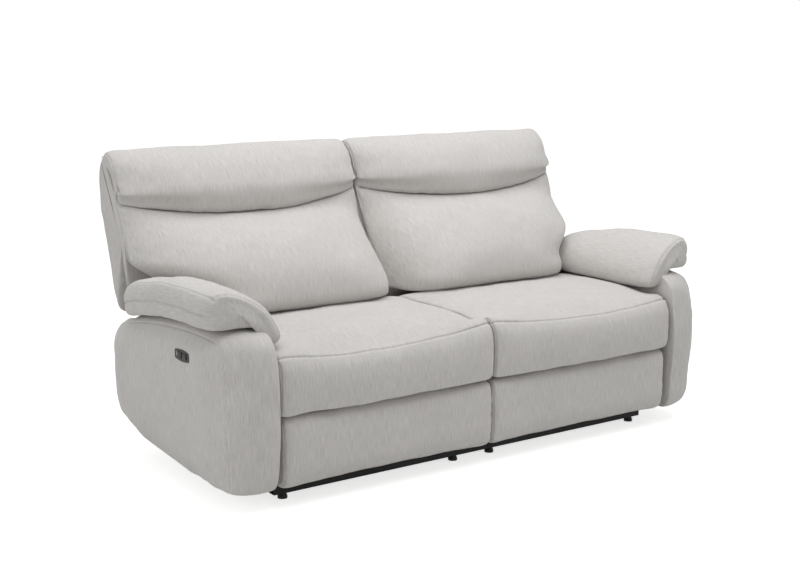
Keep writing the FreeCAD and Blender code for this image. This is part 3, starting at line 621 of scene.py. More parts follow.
seat = {
    "crown": 0.490, "seam": 0.4455, "seamRise": 0.024, "lean": 0.005,
    "front": -0.500, "low": 0.2875, "rear": 0.131, "under": 0.3625, "lipRear": -0.3605,
    "sideDraw": 0.011, "sideRoll": 0.032, "outerRoom": 0.007,
    "cloth": {"stiff": 20.0, "bend": 0.6, "shrink": -0.008, "pressure": 3.5, "most": 0.009},
}


def seatOutline(x):
    share = (x - seatMid) / (seatOut - seatMid)
    crown = seat["crown"] - 0.010 * share ** 4
    seam = seat["seam"] + seat["seamRise"] * share ** 2 - seat["lean"] * share
    front = seat["front"] + 0.010 * share ** 2
    low, rear, under, lip = seat["low"], seat["rear"], seat["under"], seat["lipRear"]
    face = [(front + 0.018, low), (front + 0.006, low + 0.006), (front + 0.001, low + 0.025),
            (front - 0.002, low + 0.08), (front + 0.005, seam - 0.025), (front + 0.026, seam)]
    top = [(front + 0.026, seam), (front + 0.052, seam + 0.015), (front + 0.11, crown - 0.009),
           (-0.25, crown), (-0.08, crown + 0.001), (0.05, crown - 0.001), (rear - 0.014, crown - 0.026)]
    back = [(rear - 0.014, crown - 0.026), (rear, 0.5 * (crown + under)), (rear - 0.010, under)]
    return outline(
        (face, 17, False), (top, 62, True), (back, 9, True),
        ([(rear - 0.010, under), (lip, under)], 26, False), ([(lip, under), (lip, low + 0.002)], 6, False),
        ([(lip, low + 0.002), (front + 0.018, low)], 10, False))


def seatGrid():
    places = stations(seatIn + 0.001, seatOut - seat["outerRoom"], seat["sideDraw"], seat["sideRoll"], 92)
    walls = []
    for x, inset in places:
        ring, marks = seatOutline(x)
        ring = drawnIn(ring, inset)
        walls.append(np.column_stack((np.full(len(ring), x), ring)))
    centre = (-0.375, 0.40)
    grid, low, high = closedGrid(walls, (walls[0][0, 0], *centre), (walls[-1][0, 0], *centre),
                                 (-0.0005, 0, 0), (0.0005, 0, 0))
    return grid, marks, (low, high)


def seatCushion(side, body, base, marks, caps):
    seed = 11 if side == "right" else 12
    columns = base.shape[1]
    girth = girthAlong(base)
    x = base[:, :, 0]
    toEdge = np.minimum(x - seatIn, seatOut - x)
    frontSeam = girth[marks[1]]
    toSeam = np.repeat((girth - frontSeam)[None, :], len(base), axis=0)
    shown = np.zeros(base.shape[:2])
    shown[caps[0]:len(base) - caps[1], :marks[2]] = 1
    lift = 0.0015 * softNoise(base, 0.17, seed) + 0.0003 * softNoise(base, 0.05, seed + 1)
    lift += gathers(x, toSeam, 0.030, 0.0010, 0.025, seed + 2)
    outer = np.exp(-np.maximum(0, seatOut - x) / 0.03)
    upright = (np.arange(columns) < marks[1])[None, :]
    lift += outer * upright * gathers(base[:, :, 2], seatOut - x, 0.030, 0.0045, 0.030, seed + 3)
    inner = np.exp(-np.maximum(0, x - seatIn) / 0.02)
    lift += inner * upright * gathers(base[:, :, 2], x - seatIn, 0.026, 0.0018, 0.02, seed + 4)
    lift += 0.0022 * np.exp(-((base[:, :, 2] - 0.318) / 0.006) ** 2) * upright
    lift *= shown * between(0.0, 0.012, toEdge + 0.004)
    seams = seamDepth(base.shape[:2], (caps[0], len(base) - 1 - caps[1]), (marks[1],), 0.0030)
    grid = base + outwards(base) * (lift + seams * shown)[:, :, None]
    if side == "left":
        grid = flipped(grid)
    piece = upholstered("seatCushion_" + side, grid, caps)
    dressed(piece, side, body, ["seat_cushion"])
    row = grid[caps[0] + 3:len(grid) - caps[1] - 3:2, marks[1] + 2]
    normal = outwards(grid)[caps[0] + 3:len(grid) - caps[1] - 3:2, marks[1] + 2]
    stitched("seatStitches_" + side, [row + 0.0004 * normal], body, side)


grid, marks, caps = seatGrid()
held = np.ones(grid.shape[:2])
held[caps[0] + 4:len(grid) - caps[1] - 4, 2:marks[2] - 4] = 0
held[:, marks[1] - 1:marks[1] + 2] = 1
held = np.maximum(held, between(-0.10, 0.02, grid[:, :, 1]))
grid = inflate(grid, held, seat["cloth"])
for side in ("right", "left"):
    seatCushion(side, "seat_carriage_" + side, grid, marks, caps)
print("seat cushions made")


# Footrest panel, pulled over its board

footrest = {
    "low": 0.0625, "high": 0.2815, "front": -0.484, "rear": -0.4155, "sideDraw": 0.012, "sideRoll": 0.028,
    "outerRoom": 0.003,
    "cloth": {"stiff": 22.0, "bend": 0.6, "shrink": -0.006, "pressure": 2.5, "most": 0.006},
}


def footrestOutline(x):
    low, high, front, rear = (footrest[key] for key in ("low", "high", "front", "rear"))
    share = (x - seatMid) / (seatOut - seatMid)
    sag = 0.004 * share ** 4
    face = [(rear, low - sag + 0.006), (rear - 0.018, low - sag), (front + 0.030, low - sag + 0.002),
            (front + 0.010, low + 0.012), (front + 0.002, low + 0.04), (front, 0.5 * (low + high)),
            (front + 0.002, high - 0.04), (front + 0.007, high - 0.012), (front + 0.020, high - 0.001),
            (rear - 0.018, high), (rear, high - 0.006)]
    return outline((face, 56, False), ([(rear, high - 0.006), (rear, low - sag + 0.006)], 14, False))


def footrestGrid():
    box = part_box("footrest_pad_right")
    lowX, highX = box[0].x, box[1].x - footrest["outerRoom"]
    walls = []
    for x, inset in stations(lowX, highX, footrest["sideDraw"], footrest["sideRoll"], 88):
        ring, marks = footrestOutline(x)
        front = np.clip((footrest["rear"] - ring[:, 0]) / 0.03, 0, 1)
        ring = drawnIn(ring, inset * front)
        walls.append(np.column_stack((np.full(len(ring), x), ring)))
    centre = (0.5 * (footrest["front"] + footrest["rear"]), 0.5 * (footrest["low"] + footrest["high"]))
    grid, low, high = closedGrid(walls, (lowX, *centre), (highX, *centre), (-0.001, 0, 0), (0.001, 0, 0))
    return grid, marks, (low, high)


def footrestPanel(side, base, marks, caps):
    seed = 31 if side == "right" else 32
    x, z = base[:, :, 0], base[:, :, 2]
    low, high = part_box("footrest_pad_right")[0].x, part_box("footrest_pad_right")[1].x
    shown = np.zeros(base.shape[:2])
    shown[:, :marks[1] - 2] = 1
    lift = 0.0014 * softNoise(base, 0.15, seed) + 0.0003 * softNoise(base, 0.04, seed + 1)
    lift += gathers(z, high - x, 0.034, 0.0016, 0.022, seed + 2)
    lift += gathers(z, x - low, 0.034, 0.0014, 0.022, seed + 3)
    lift += gathers(x, z - footrest["high"], 0.05, 0.0014, 0.03, seed + 4)
    seams = seamDepth(base.shape[:2], (caps[0], len(base) - 1 - caps[1]), (), 0.0022)
    grid = base + outwards(base) * ((lift + seams) * shown)[:, :, None]
    grid[:, :, 1] = np.minimum(grid[:, :, 1], footrest["rear"])
    if side == "left":
        grid = flipped(grid)
    piece = upholstered("footrestPanel_" + side, grid, caps)
    dressed(piece, side, "footrest_" + side, ["footrest_pad"])


grid, marks, caps = footrestGrid()
held = np.ones(grid.shape[:2])
held[caps[0] + 3:len(grid) - caps[1] - 3, 6:marks[1] - 6] = 0
grid = inflate(grid, held, footrest["cloth"])
for side in ("right", "left"):
    footrestPanel(side, grid, marks, caps)
print("footrest panels made")


# Back: the lumbar cushion, the headrest roll above its tuck, and the outside with its side band

back = {
    "tuckLow": 0.797, "tuckRise": 0.045, "tuckFront": 0.270, "tuckBack": 0.070,
    "coreLine": [(0.214, 0.365), (0.228, 0.44), (0.262, 0.53), (0.290, 0.62), (0.299, 0.729), (0.327, 0.818),
                 (0.363, 0.887), (0.418, 0.968)],
    "wingLow": (0.555, 0.670), "shellLow": (0.475, 0.530), "rearDrop": 0.040,
}


def coreAt(z):
    line = np.array(back["coreLine"])
    return np.interp(z, line[:, 1], line[:, 0])


def backShare(x):
    return (x - backMid) / (backOut - backMid)


def tuckAt(x):
    b = bulge(backShare(x), 2)
    return back["tuckFront"] + back["tuckBack"] * (1 - b), back["tuckLow"] + back["tuckRise"] * (1 - b)


lumbar = {
    "edge": [(0.140, 0.494), (0.142, 0.498), (0.158, 0.530), (0.202, 0.600), (0.262, 0.684), (0.310, 0.765)],
    "middle": [(0.080, 0.494), (-0.016, 0.496), (-0.048, 0.528), (-0.026, 0.605), (0.048, 0.690),
               (0.158, 0.757)],
    "power": [7, 7, 6, 4.5, 3.4, 3], "sideDraw": 0.012, "sideRoll": 0.04,
    "cloth": {"stiff": 20.0, "bend": 0.6, "shrink": -0.008, "pressure": 3.0, "most": 0.008},
}


def lumbarOutline(x):
    share = backShare(x)
    tuckY, tuckZ = tuckAt(x)
    front = []
    for edge, middle, power in zip(lumbar["edge"], lumbar["middle"], lumbar["power"]):
        b = bulge(share, power)
        front.append((edge[0] + b * (middle[0] - edge[0]), edge[1] + b * (middle[1] - edge[1])))
    face = front + [(tuckY - 0.016, tuckZ - 0.010), (tuckY + 0.014, tuckZ)]
    deepY = coreAt(tuckZ) - 0.002
    deepY = max(deepY, tuckY + 0.024)
    core = [(deepY, tuckZ - 0.002)] + [(float(coreAt(z)) - 0.002, z) for z in (0.72, 0.62, 0.53, 0.44)]
    core.append((0.213, 0.372))
    foot = [(0.213, 0.372), (0.150, 0.372)]
    tail = [(0.150, 0.372), (0.1495, 0.48), front[0]]
    return outline((face, 74, False), ([face[-1], core[0]], 3, False), (core, 22, False),
                   (foot, 4, False), (tail, 10, False))


def lumbarGrid():
    walls = []
    for x, inset in stations(seatIn + 0.001, backOut - 0.001, lumbar["sideDraw"], lumbar["sideRoll"], 104):
        ring, marks = lumbarOutline(x)
        front = np.zeros(len(ring))
        front[:marks[1]] = 1
        ring = drawnIn(ring, inset * front)
        narrow = between(*back["wingLow"], ring[:, 1])
        high = (seatOut - 0.003) + (backOut - seatOut + 0.002) * narrow
        share = (x - seatIn) / (backOut - seatIn)
        walls.append(np.column_stack((seatIn + (high - seatIn) * share, ring)))
    inner = (walls[0][:, 0].mean(), 0.225, 0.60)
    outer = (walls[-1][:, 0].mean(), 0.245, 0.60)
    grid, low, high = closedGrid(walls, inner, outer, (-0.0005, 0, 0), (0.0005, 0, 0), 0.05, (5, 7))
    flat = grid.reshape(-1, 3)
    narrow = between(*back["wingLow"], flat[:, 2])
    limit = (seatOut - 0.003) + (backOut - seatOut + 0.002) * narrow
    flat[:, 0] = np.clip(flat[:, 0], seatIn + 0.0005, limit)
    return flat.reshape(grid.shape), marks, (low, high)


def lumbarCushion(side, base, marks, caps):
    seed = 51 if side == "right" else 52
    x, z = base[:, :, 0], base[:, :, 2]
    shown = np.zeros(base.shape[:2])
    shown[:, :marks[1] - 3] = 1
    toInner = x - seatIn
    toOuter = base[len(base) - 1 - caps[1], :, 0][None, :] - x
    tuckZ = back["tuckLow"] + back["tuckRise"] * np.abs(backShare(x)) ** 2
    lift = 0.0017 * softNoise(base, 0.20, seed) + 0.0003 * softNoise(base, 0.05, seed + 1)
    lift += gathers(z, toInner, 0.024, 0.0012, 0.014, seed + 2)
    lift += gathers(z, toOuter, 0.022, 0.0018, 0.020, seed + 3)
    lift += gathers(x, z - tuckZ, 0.055, 0.0012, 0.030, seed + 4)
    lift *= shown * between(-0.002, 0.012, np.minimum(toInner, toOuter))
    seams = seamDepth(base.shape[:2], (caps[0], len(base) - 1 - caps[1]), (), 0.0028) * shown
    grid = base + outwards(base) * (lift + seams)[:, :, None]
    if side == "left":
        grid = flipped(grid)
    piece = upholstered("lumbarCushion_" + side, grid, caps)
    dressed(piece, side, "back_" + side, ["back_cushion"])


grid, marks, caps = lumbarGrid()
held = np.ones(grid.shape[:2])
held[caps[0] + 4:len(grid) - caps[1] - 4, 8:marks[1] - 5] = 0
held = np.maximum(held, between(0.54, 0.50, grid[:, :, 2]))
grid = inflate(grid, held, lumbar["cloth"])
for side in ("right", "left"):
    lumbarCushion(side, grid, marks, caps)
print("lumbar cushions made")


headrest = {
    "sideDraw": 0.012, "sideRoll": 0.04,
    "cloth": {"stiff": 20.0, "bend": 0.6, "shrink": -0.008, "pressure": 3.0, "most": 0.006},
}


def headrestOutline(x):
    b = bulge(backShare(x), 4)
    tuckY, tuckZ = tuckAt(x)
    flat = 1 - b
    face = [(tuckY + 0.014, tuckZ + 0.002), (tuckY - 0.010 + 0.006 * flat, tuckZ - 0.003),
            (tuckY - 0.024 + 0.014 * flat, tuckZ + 0.006), (tuckY - 0.031 + 0.024 * flat, tuckZ + 0.028),
            (0.244 + 0.076 * flat, 0.868), (0.268 + 0.070 * flat, 0.915),
            (0.306 + 0.052 * flat, 0.962), (0.358 + 0.030 * flat, 0.999 - 0.004 * flat),
            (0.412 + 0.008 * flat, 1.018 - 0.008 * flat), (0.446, 1.008 - 0.006 * flat), (0.457, 0.989)]
    under = [(0.457, 0.989), (0.420, 0.974)]
    core = [(0.420, 0.974), (0.363, 0.890), (max(float(coreAt(tuckZ)) - 0.001, tuckY + 0.026), tuckZ + 0.002)]
    return outline((face, 62, False), (under, 5, True), (core, 12, False), ([core[-1], face[0]], 3, False))


def headrestGrid():
    walls = []
    places = stations(seatIn + 0.001, backOut - 0.001, headrest["sideDraw"], headrest["sideRoll"], 104)
    for x, inset in places:
        ring, marks = headrestOutline(x)
        front = np.zeros(len(ring))
        front[:marks[1]] = 1
        ring = drawnIn(ring, inset * front)
        walls.append(np.column_stack((np.full(len(ring), x), ring)))
    centre = (0.352, 0.915)
    grid, low, high = closedGrid(walls, (walls[0][0, 0], *centre), (walls[-1][0, 0], *centre),
                                 (-0.0005, 0, 0), (0.002, 0, 0), 0.03)
    return grid, marks, (low, high)


def headrestCushion(side, base, marks, caps):
    seed = 71 if side == "right" else 72
    x, z = base[:, :, 0], base[:, :, 2]
    shown = np.zeros(base.shape[:2])
    shown[:, :marks[1]] = 1
    toInner, toOuter = x - seatIn, backOut - x
    lift = 0.0014 * softNoise(base, 0.18, seed) + 0.0003 * softNoise(base, 0.05, seed + 1)
    lift += gathers(z, toInner, 0.026, 0.0012, 0.014, seed + 2)
    lift += gathers(z, toOuter, 0.022, 0.0014, 0.016, seed + 3)
    tuckZ = back["tuckLow"] + back["tuckRise"] * np.abs(backShare(x)) ** 2
    lift += gathers(x, z - tuckZ, 0.06, 0.0012, 0.03, seed + 4)
    lift *= shown * between(-0.002, 0.012, np.minimum(toInner, toOuter))
    seams = seamDepth(base.shape[:2], (caps[0], len(base) - 1 - caps[1]), (marks[1],), 0.0028) * shown
    grid = base + outwards(base) * (lift + seams)[:, :, None]
    if side == "left":
        grid = flipped(grid)
    piece = upholstered("headrestCushion_" + side, grid, caps)
    dressed(piece, side, "back_" + side, ["headrest_cushion"])


grid, marks, caps = headrestGrid()
held = np.ones(grid.shape[:2])
held[caps[0] + 4:len(grid) - caps[1] - 4, 6:marks[1] - 4] = 0
grid = inflate(grid, held, headrest["cloth"])
for side in ("right", "left"):
    headrestCushion(side, grid, marks, caps)
print("headrest cushions made")


outside = {
    "rearLine": [(0.452, 0.986), (0.474, 0.968), (0.494, 0.90), (0.492, 0.83), (0.470, 0.755), (0.440, 0.676),
                 (0.404, 0.580), (0.370, 0.496), (0.336, 0.425), (0.312, 0.345)],
    "low": 0.334, "sideDraw": 0.012, "sideRoll": 0.035,
}


def outsideOutline(x):
    core = [(float(coreAt(z)), z) for z in (0.345, 0.44, 0.53, 0.62, 0.729, 0.818, 0.887)] + [(0.420, 0.971)]
    top = [(0.420, 0.971), outside["rearLine"][0]]
    foot = [outside["rearLine"][-1], (0.300, outside["low"]), (0.240, outside["low"]), core[0]]
    return outline((core, 40, False), (top, 3, True), (outside["rearLine"], 46, True), (foot, 8, False))


def wingShare(y, z):
    # the wing reaches lower only at its rear, where it clears the arm as the seat rolls forward
    return between(*back["shellLow"], z + back["rearDrop"] * between(0.305, 0.340, y))


def outsideGrid():
    walls = []
    for x, inset in stations(seatIn + 0.001, backOut, outside["sideDraw"], outside["sideRoll"], 60):
        ring, marks = outsideOutline(x)
        rear = np.zeros(len(ring))
        rear[marks[2]:marks[3]] = 1
        ring = drawnIn(ring, inset * rear)
        narrow = wingShare(ring[:, 0], ring[:, 1])
        high = (seatOut - 0.002) + (backOut - seatOut + 0.002) * narrow
        share = (x - seatIn) / (backOut - seatIn)
        walls.append(np.column_stack((seatIn + (high - seatIn) * share, ring)))
    inner = (walls[0][:, 0].mean(), 0.37, 0.66)
    outer = (walls[-1][:, 0].mean(), 0.37, 0.70)
    grid, low, high = closedGrid(walls, inner, outer, (-0.0005, 0, 0), (0.006, 0, 0), 0.05, (5, 12))
    flat = grid.reshape(-1, 3)
    narrow = wingShare(flat[:, 1], flat[:, 2])
    limit = (seatOut - 0.002) + (backOut + 0.006 - seatOut) * narrow
    flat[:, 0] = np.clip(flat[:, 0], seatIn + 0.0005, limit)
    return flat.reshape(grid.shape), marks, (low, high)


def outsideBack(side, base, marks, caps):
    seed = 91 if side == "right" else 92
    lift = 0.0022 * softNoise(base, 0.22, seed) + 0.0006 * softNoise(base, 0.06, seed + 1)
    shown = np.zeros(base.shape[:2])
    shown[:, marks[2]:marks[3]] = 1
    shown[len(base) - caps[1]:] = 1
    seams = seamDepth(base.shape[:2], (caps[0], len(base) - 1 - caps[1]), (marks[2],), 0.0028)
    grid = base + outwards(base) * (lift * shown + seams)[:, :, None]
    if side == "left":
        grid = flipped(grid)
    piece = upholstered("outsideBack_" + side, grid, caps)
    dressed(piece, side, "back_" + side, ["back_shell"])
    normal = outwards(grid)
    rows = []
    for ring in (2, 4):
        row = len(grid) - caps[1] + ring
        rows.append(grid[row, marks[0] + 14:marks[1]] + 0.0004 * normal[row, marks[0] + 14:marks[1]])
        rows.append(grid[row, marks[2] + 2:marks[3] - 12] + 0.0004 * normal[row, marks[2] + 2:marks[3] - 12])
    stitched("bandStitches_" + side, rows, "back_" + side, side)


grid, marks, caps = outsideGrid()
for side in ("right", "left"):
    outsideBack(side, grid, marks, caps)
print("outside backs made")


# Arm cover: a front panel that wraps over the top, and an outside panel that swells

arm = {
    "swell": 0.034, "swellReach": 0.13,
    "notch": (0.332, 0.202), "switchRoom": 0.0015, "switchRim": (0.004, 0.050),
    # place across, then how far the front, top, bottom and rear are drawn in there
    "places": [(0.0, 0.006, 0.005, 0.004, 0.003), (0.006, 0.002, 0.002, 0.001, 0.001), (0.024, 0, 0, 0, 0),
               (0.060, 0.005, 0, 0, 0), (0.095, 0.018, 0.003, 0.001, 0), (0.122, 0.036, 0.010, 0.004, 0.002),
               (0.138, 0.050, 0.018, 0.009, 0.009), (0.146, 0.060, 0.027, 0.014, 0.014)],
}


def armOutline(front, top, low, rear):
    nose = [(-0.456 + 0.5 * front, 0.061 + low), (-0.482 + 0.8 * front, 0.090 + low), (-0.499 + front, 0.200),
            (-0.505 + front, 0.305), (-0.500 + front, 0.405 - 0.3 * top),
            (-0.480 + 0.9 * front, 0.494 - 0.7 * top), (-0.440 + 0.6 * front, 0.533 - top),
            (-0.360 + 0.3 * front, 0.545 - top), (-0.230, 0.547 - top),
            (-0.127, 0.543 - top), (-0.009, 0.534 - top), (0.114, 0.517 - top), (0.238, 0.490 - top),
            (0.301, 0.464 - top), (0.338 - rear, 0.430 - 0.5 * top), (0.354 - rear, 0.360),
            (0.357 - rear, 0.270), (0.350 - rear, 0.190), (0.334 - rear, 0.136 + low)]
    base = [(0.334 - rear, 0.136 + low), (0.250, 0.107 + low), (0.093, 0.080 + low), (-0.106, 0.063 + low),
            (-0.300, 0.060 + low), (-0.456 + 0.5 * front, 0.061 + low)]
    return outline((nose, 150, False), (base, 60, False))


def armGrid():
    table = np.array(arm["places"])
    across = np.concatenate(([0, 0.002, 0.005], np.linspace(0.011, 0.135, 16), [0.141, 0.144, 0.146]))
    walls = []
    for place in across:
        amounts = [np.interp(place, table[:, 0], table[:, column]) for column in range(1, 5)]
        ring, marks = armOutline(*amounts)
        low = 0.012 * between(0.3, 0.06, ring[:, 1]) * (place / 0.146) ** 2
        walls.append(np.column_stack((armIn + place - low, ring)))
    inner = (armIn, -0.05, 0.30)
    outer = (walls[-1][:, 0].mean(), -0.05, 0.31)
    grid, low, high = closedGrid(walls, inner, outer, (-0.0005, 0, 0), (arm["swell"], 0, 0),
                                 arm["swellReach"], (5, 26))
    return grid, marks, (low, high)


def armCover(side, base, marks, caps):
    seed = 111 if side == "right" else 112
    lift = 0.0026 * softNoise(base, 0.19, seed) + 0.0007 * softNoise(base, 0.05, seed + 1)
    shown = np.ones(base.shape[:2])
    shown[:caps[0] + 1] = 0
    seams = seamDepth(base.shape[:2], (len(base) - 1 - caps[1],), (), 0.0030)
    grid = base + outwards(base) * (lift * shown + seams)[:, :, None]
    plateLow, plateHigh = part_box("switch_bezel_right")
    plate = 0.5 * (plateLow + plateHigh)
    halfY, halfZ = 0.5 * (plateHigh.y - plateLow.y), 0.5 * (plateHigh.z - plateLow.z)
    far = np.hypot((grid[:, :, 1] - plate.y) / halfY, (grid[:, :, 2] - plate.z) / halfZ) - 1
    rise = np.clip(far * 0.5 * (halfY + halfZ) - arm["switchRim"][0], 0, None) / arm["switchRim"][1]
    ceiling = plateHigh.x - arm["switchRoom"] + 0.03 * np.minimum(1, rise) ** 1.5
    grid[:, :, 0] = np.minimum(grid[:, :, 0], ceiling)
    if side == "left":
        grid = flipped(grid)
    piece = upholstered("armCover_" + side, grid, caps)
    notchZ, notchY = arm["notch"]
    room = bmesh.new()
    low = Vector((armIn - 0.02, notchY, notchZ))
    high = Vector((backOut + 0.009, 0.5, 0.7))
    corners = bmesh.ops.create_cube(room, size=1.0)["verts"]
    for corner in corners:
        corner.co = Vector(((low[n] if corner.co[n] < 0 else high[n]) for n in range(3)))
        if side == "left":
            corner.co.x = -corner.co.x
    edges = [edge for edge in room.edges if all(v.co.z < 0.5 for v in edge.verts)]
    bmesh.ops.bevel(room, geom=edges, offset=0.018, segments=5, affect="EDGES", profile=0.5)
    bmesh.ops.recalc_face_normals(room, faces=room.faces)
    mesh = bpy.data.meshes.new("wingRoom")
    room.to_mesh(mesh)
    room.free()
    mesh.uv_layers.new(name="weave")
    mesh.materials.append(cover)
    cutter = bpy.data.objects.new("wingRoom", mesh)
    bpy.context.scene.collection.objects.link(cutter)
    cut = piece.modifiers.new("wingRoom", "BOOLEAN")
    cut.object = cutter
    cut.solver = "MANIFOLD"
    applied(piece)
    bpy.data.objects.remove(cutter)
    dressed(piece, side, "root", ["arm_upholstery"])
    normal = outwards(grid)
    row = len(grid) - 1 - caps[1] - 2
    path = grid[row, 3:marks[1] - 30] + 0.0004 * normal[row, 3:marks[1] - 30]
    stitched("armStitches_" + side, [path], "root", side)


grid, marks, caps = armGrid()
for side in ("right", "left"):
    armCover(side, grid, marks, caps)
print("arm covers made")


# Arm pad: a pillow that hangs over the inner edge, with a gathered band round its outer side

pad = {
    # along: outer y, inner y, size, drop
    "places": [(-0.398, -0.436, 0.52, -0.004), (-0.397, -0.436, 0.68, -0.003), (-0.392, -0.432, 0.82, -0.001),
               (-0.381, -0.422, 0.91, 0.0), (-0.360, -0.402, 0.97, 0.0), (-0.322, -0.370, 1.0, 0.0),
               (-0.230, -0.270, 1.02, -0.003), (-0.060, -0.090, 1.01, 0.006), (0.080, 0.030, 0.98, 0.027),
               (0.180, 0.088, 0.92, 0.047), (0.224, 0.106, 0.80, 0.060), (0.238, 0.112, 0.60, 0.067)],
    "middle": (0.885, 0.590),
    "cloth": {"stiff": 16.0, "bend": 0.3, "shrink": -0.02, "pressure": 3.0, "most": 0.010},
}


def padOutline(size, drop):
    top = [(0.756, 0.494), (0.746, 0.512), (0.764, 0.556), (0.806, 0.606), (0.864, 0.645), (0.915, 0.664),
           (0.950, 0.666), (0.975, 0.654)]
    band = [(0.975, 0.654), (0.986, 0.634), (0.989, 0.614), (0.984, 0.596)]
    roll = [(0.984, 0.596), (0.986, 0.576), (0.980, 0.556), (0.962, 0.546)]
    under = [(0.962, 0.546), (0.930, 0.546), (0.880, 0.548), (0.835, 0.545), (0.810, 0.530), (0.8035, 0.505),
             (0.794, 0.490), (0.774, 0.487), (0.756, 0.494)]
    ring, marks = outline((top, 40, False), (band, 7, True), (roll, 7, True), (under, 20, False))
    middle = np.array(pad["middle"])
    ring = middle + (ring - middle) * size
    ring[:, 1] -= drop * np.clip((ring[:, 0] - 0.78) / 0.15, 0, 1)
    return ring, marks


def padGrid():
    table = np.array(pad["places"])
    steps = np.concatenate((np.linspace(0, 5, 15), np.linspace(5, 8, 62)[1:], np.linspace(8, 11, 15)[1:]))
    walls = []
    for step in steps:
        count = np.arange(len(table))
        outerY, innerY, size, drop = (np.interp(step, count, table[:, column]) for column in range(4))
        ring, marks = padOutline(size, drop)
        share = (ring[:, 0] - 0.746) / 0.243
        y = innerY + share * (outerY - innerY)
        walls.append(np.column_stack((ring[:, 0], y, ring[:, 1])))
    front = walls[0].mean(axis=0)
    rear = walls[-1].mean(axis=0)
    grid, low, high = closedGrid(walls, front, rear, (0, -0.008, 0), (0, 0.006, 0), 0.08, (6, 5))
    return grid, marks, (low, high)


def armPad(side, base, marks, caps):
    seed = 131 if side == "right" else 132
    y = base[:, :, 1]
    girth = girthAlong(base)
    toUpper = np.repeat((girth - girth[marks[1]])[None, :], len(base), axis=0)
    toLower = np.repeat((girth - girth[marks[2]])[None, :], len(base), axis=0)
    shown = np.zeros(base.shape[:2])
    shown[:, :marks[3] + 2] = 1
    shown[:, -4:] = 1
    rearward = between(-0.40, -0.20, y)
    lift = 0.0016 * softNoise(base, 0.14, seed) + 0.0004 * softNoise(base, 0.04, seed + 1)
    lift += rearward * gathers(y, toUpper, 0.017, 0.0034, 0.020, seed + 2)
    lift += rearward * gathers(y, toLower, 0.015, 0.0030, 0.016, seed + 3)
    x = base[:, :, 0]
    frontEdge = y - (-0.436 + (x - 0.746) / 0.243 * 0.038)
    onTop = (np.arange(base.shape[1]) < marks[1])[None, :]
    lift += onTop * gathers(x, frontEdge, 0.017, 0.0030, 0.022, seed + 4) * between(0.84, 0.93, x)
    seams = seamDepth(base.shape[:2], (caps[0] + 6,), (marks[1], marks[2]), 0.0028)
    seams[:caps[0] + 6] = 0
    seams[caps[0] + 6:caps[0] + 10, marks[1] + 3:] *= 0.3
    grid = base + outwards(base) * (lift * shown + seams * shown)[:, :, None]
    if side == "left":
        grid = flipped(grid)
    piece = upholstered("armPad_" + side, grid, caps, alongY=True, sideUv="xz")
    dressed(piece, side, "root", ["arm_pad"])


grid, marks, caps = padGrid()
held = np.ones(grid.shape[:2])
held[caps[0] + 2:len(grid) - caps[1] - 2, :marks[3]] = 0
held[:, marks[1] - 1:marks[1] + 2] = 1
held[:, marks[2] - 1:marks[2] + 2] = 1
grid = inflate(grid, held, pad["cloth"])
for side in ("right", "left"):
    armPad(side, grid, marks, caps)
print("arm pads made")


# Flipper panel: the slim padded strip that fills the gap behind the open footrest


def flipperPanel(side):
    low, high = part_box("flipper_panel_right")
    walls = []
    for x, inset in stations(low.x, high.x, 0.006, 0.02, 50):
        y0, y1, z0, z1 = low.y + inset, high.y - inset, low.z + inset, high.z - inset
        r = 0.012
        ring, marks = outline(
            ([(y0, z0 + r), (y0 - 0.0005, 0.5 * (z0 + z1)), (y0, z1 - r), (y0 + 0.004, z1 - 0.004),
              (y0 + r, z1)], 8, False),
            ([(y0 + r, z1), (0.5 * (y0 + y1), z1 + 0.001), (y1 - r, z1)], 12, False),
            ([(y1 - r, z1), (y1 - 0.004, z1 - 0.004), (y1, z1 - r), (y1, z0 + r)], 8, False),
            ([(y1, z0 + r), (y1 - 0.004, z0 + 0.004), (y1 - r, z0), (y0 + r, z0),
              (y0 + 0.004, z0 + 0.004), (y0, z0 + r)], 18, False))
        walls.append(np.column_stack((np.full(len(ring), x), ring)))
    middle = 0.5 * (low + high)
    base, near, far = closedGrid(walls, (low.x, middle.y, middle.z), (high.x, middle.y, middle.z),
                                 (0, 0, 0), (0, 0, 0))
    base += outwards(base) * (0.0006 * softNoise(base, 0.05, 151))[:, :, None]
    if side == "left":
        base = flipped(base)
    piece = upholstered("flipperPanel_" + side, base, (near, far))
    dressed(piece, side, "upper_link_" + side, ["flipper_panel"])


for side in ("right", "left"):
    flipperPanel(side)


# Bolts: pairs of zinc hexagon heads on washers under the front rail

bolts = {
    "across": (-0.419, -0.351, 0.381, 0.449), "y": -0.343,
    "head": 0.013, "height": 0.0055, "washer": 0.020, "washerThick": 0.0016,
}


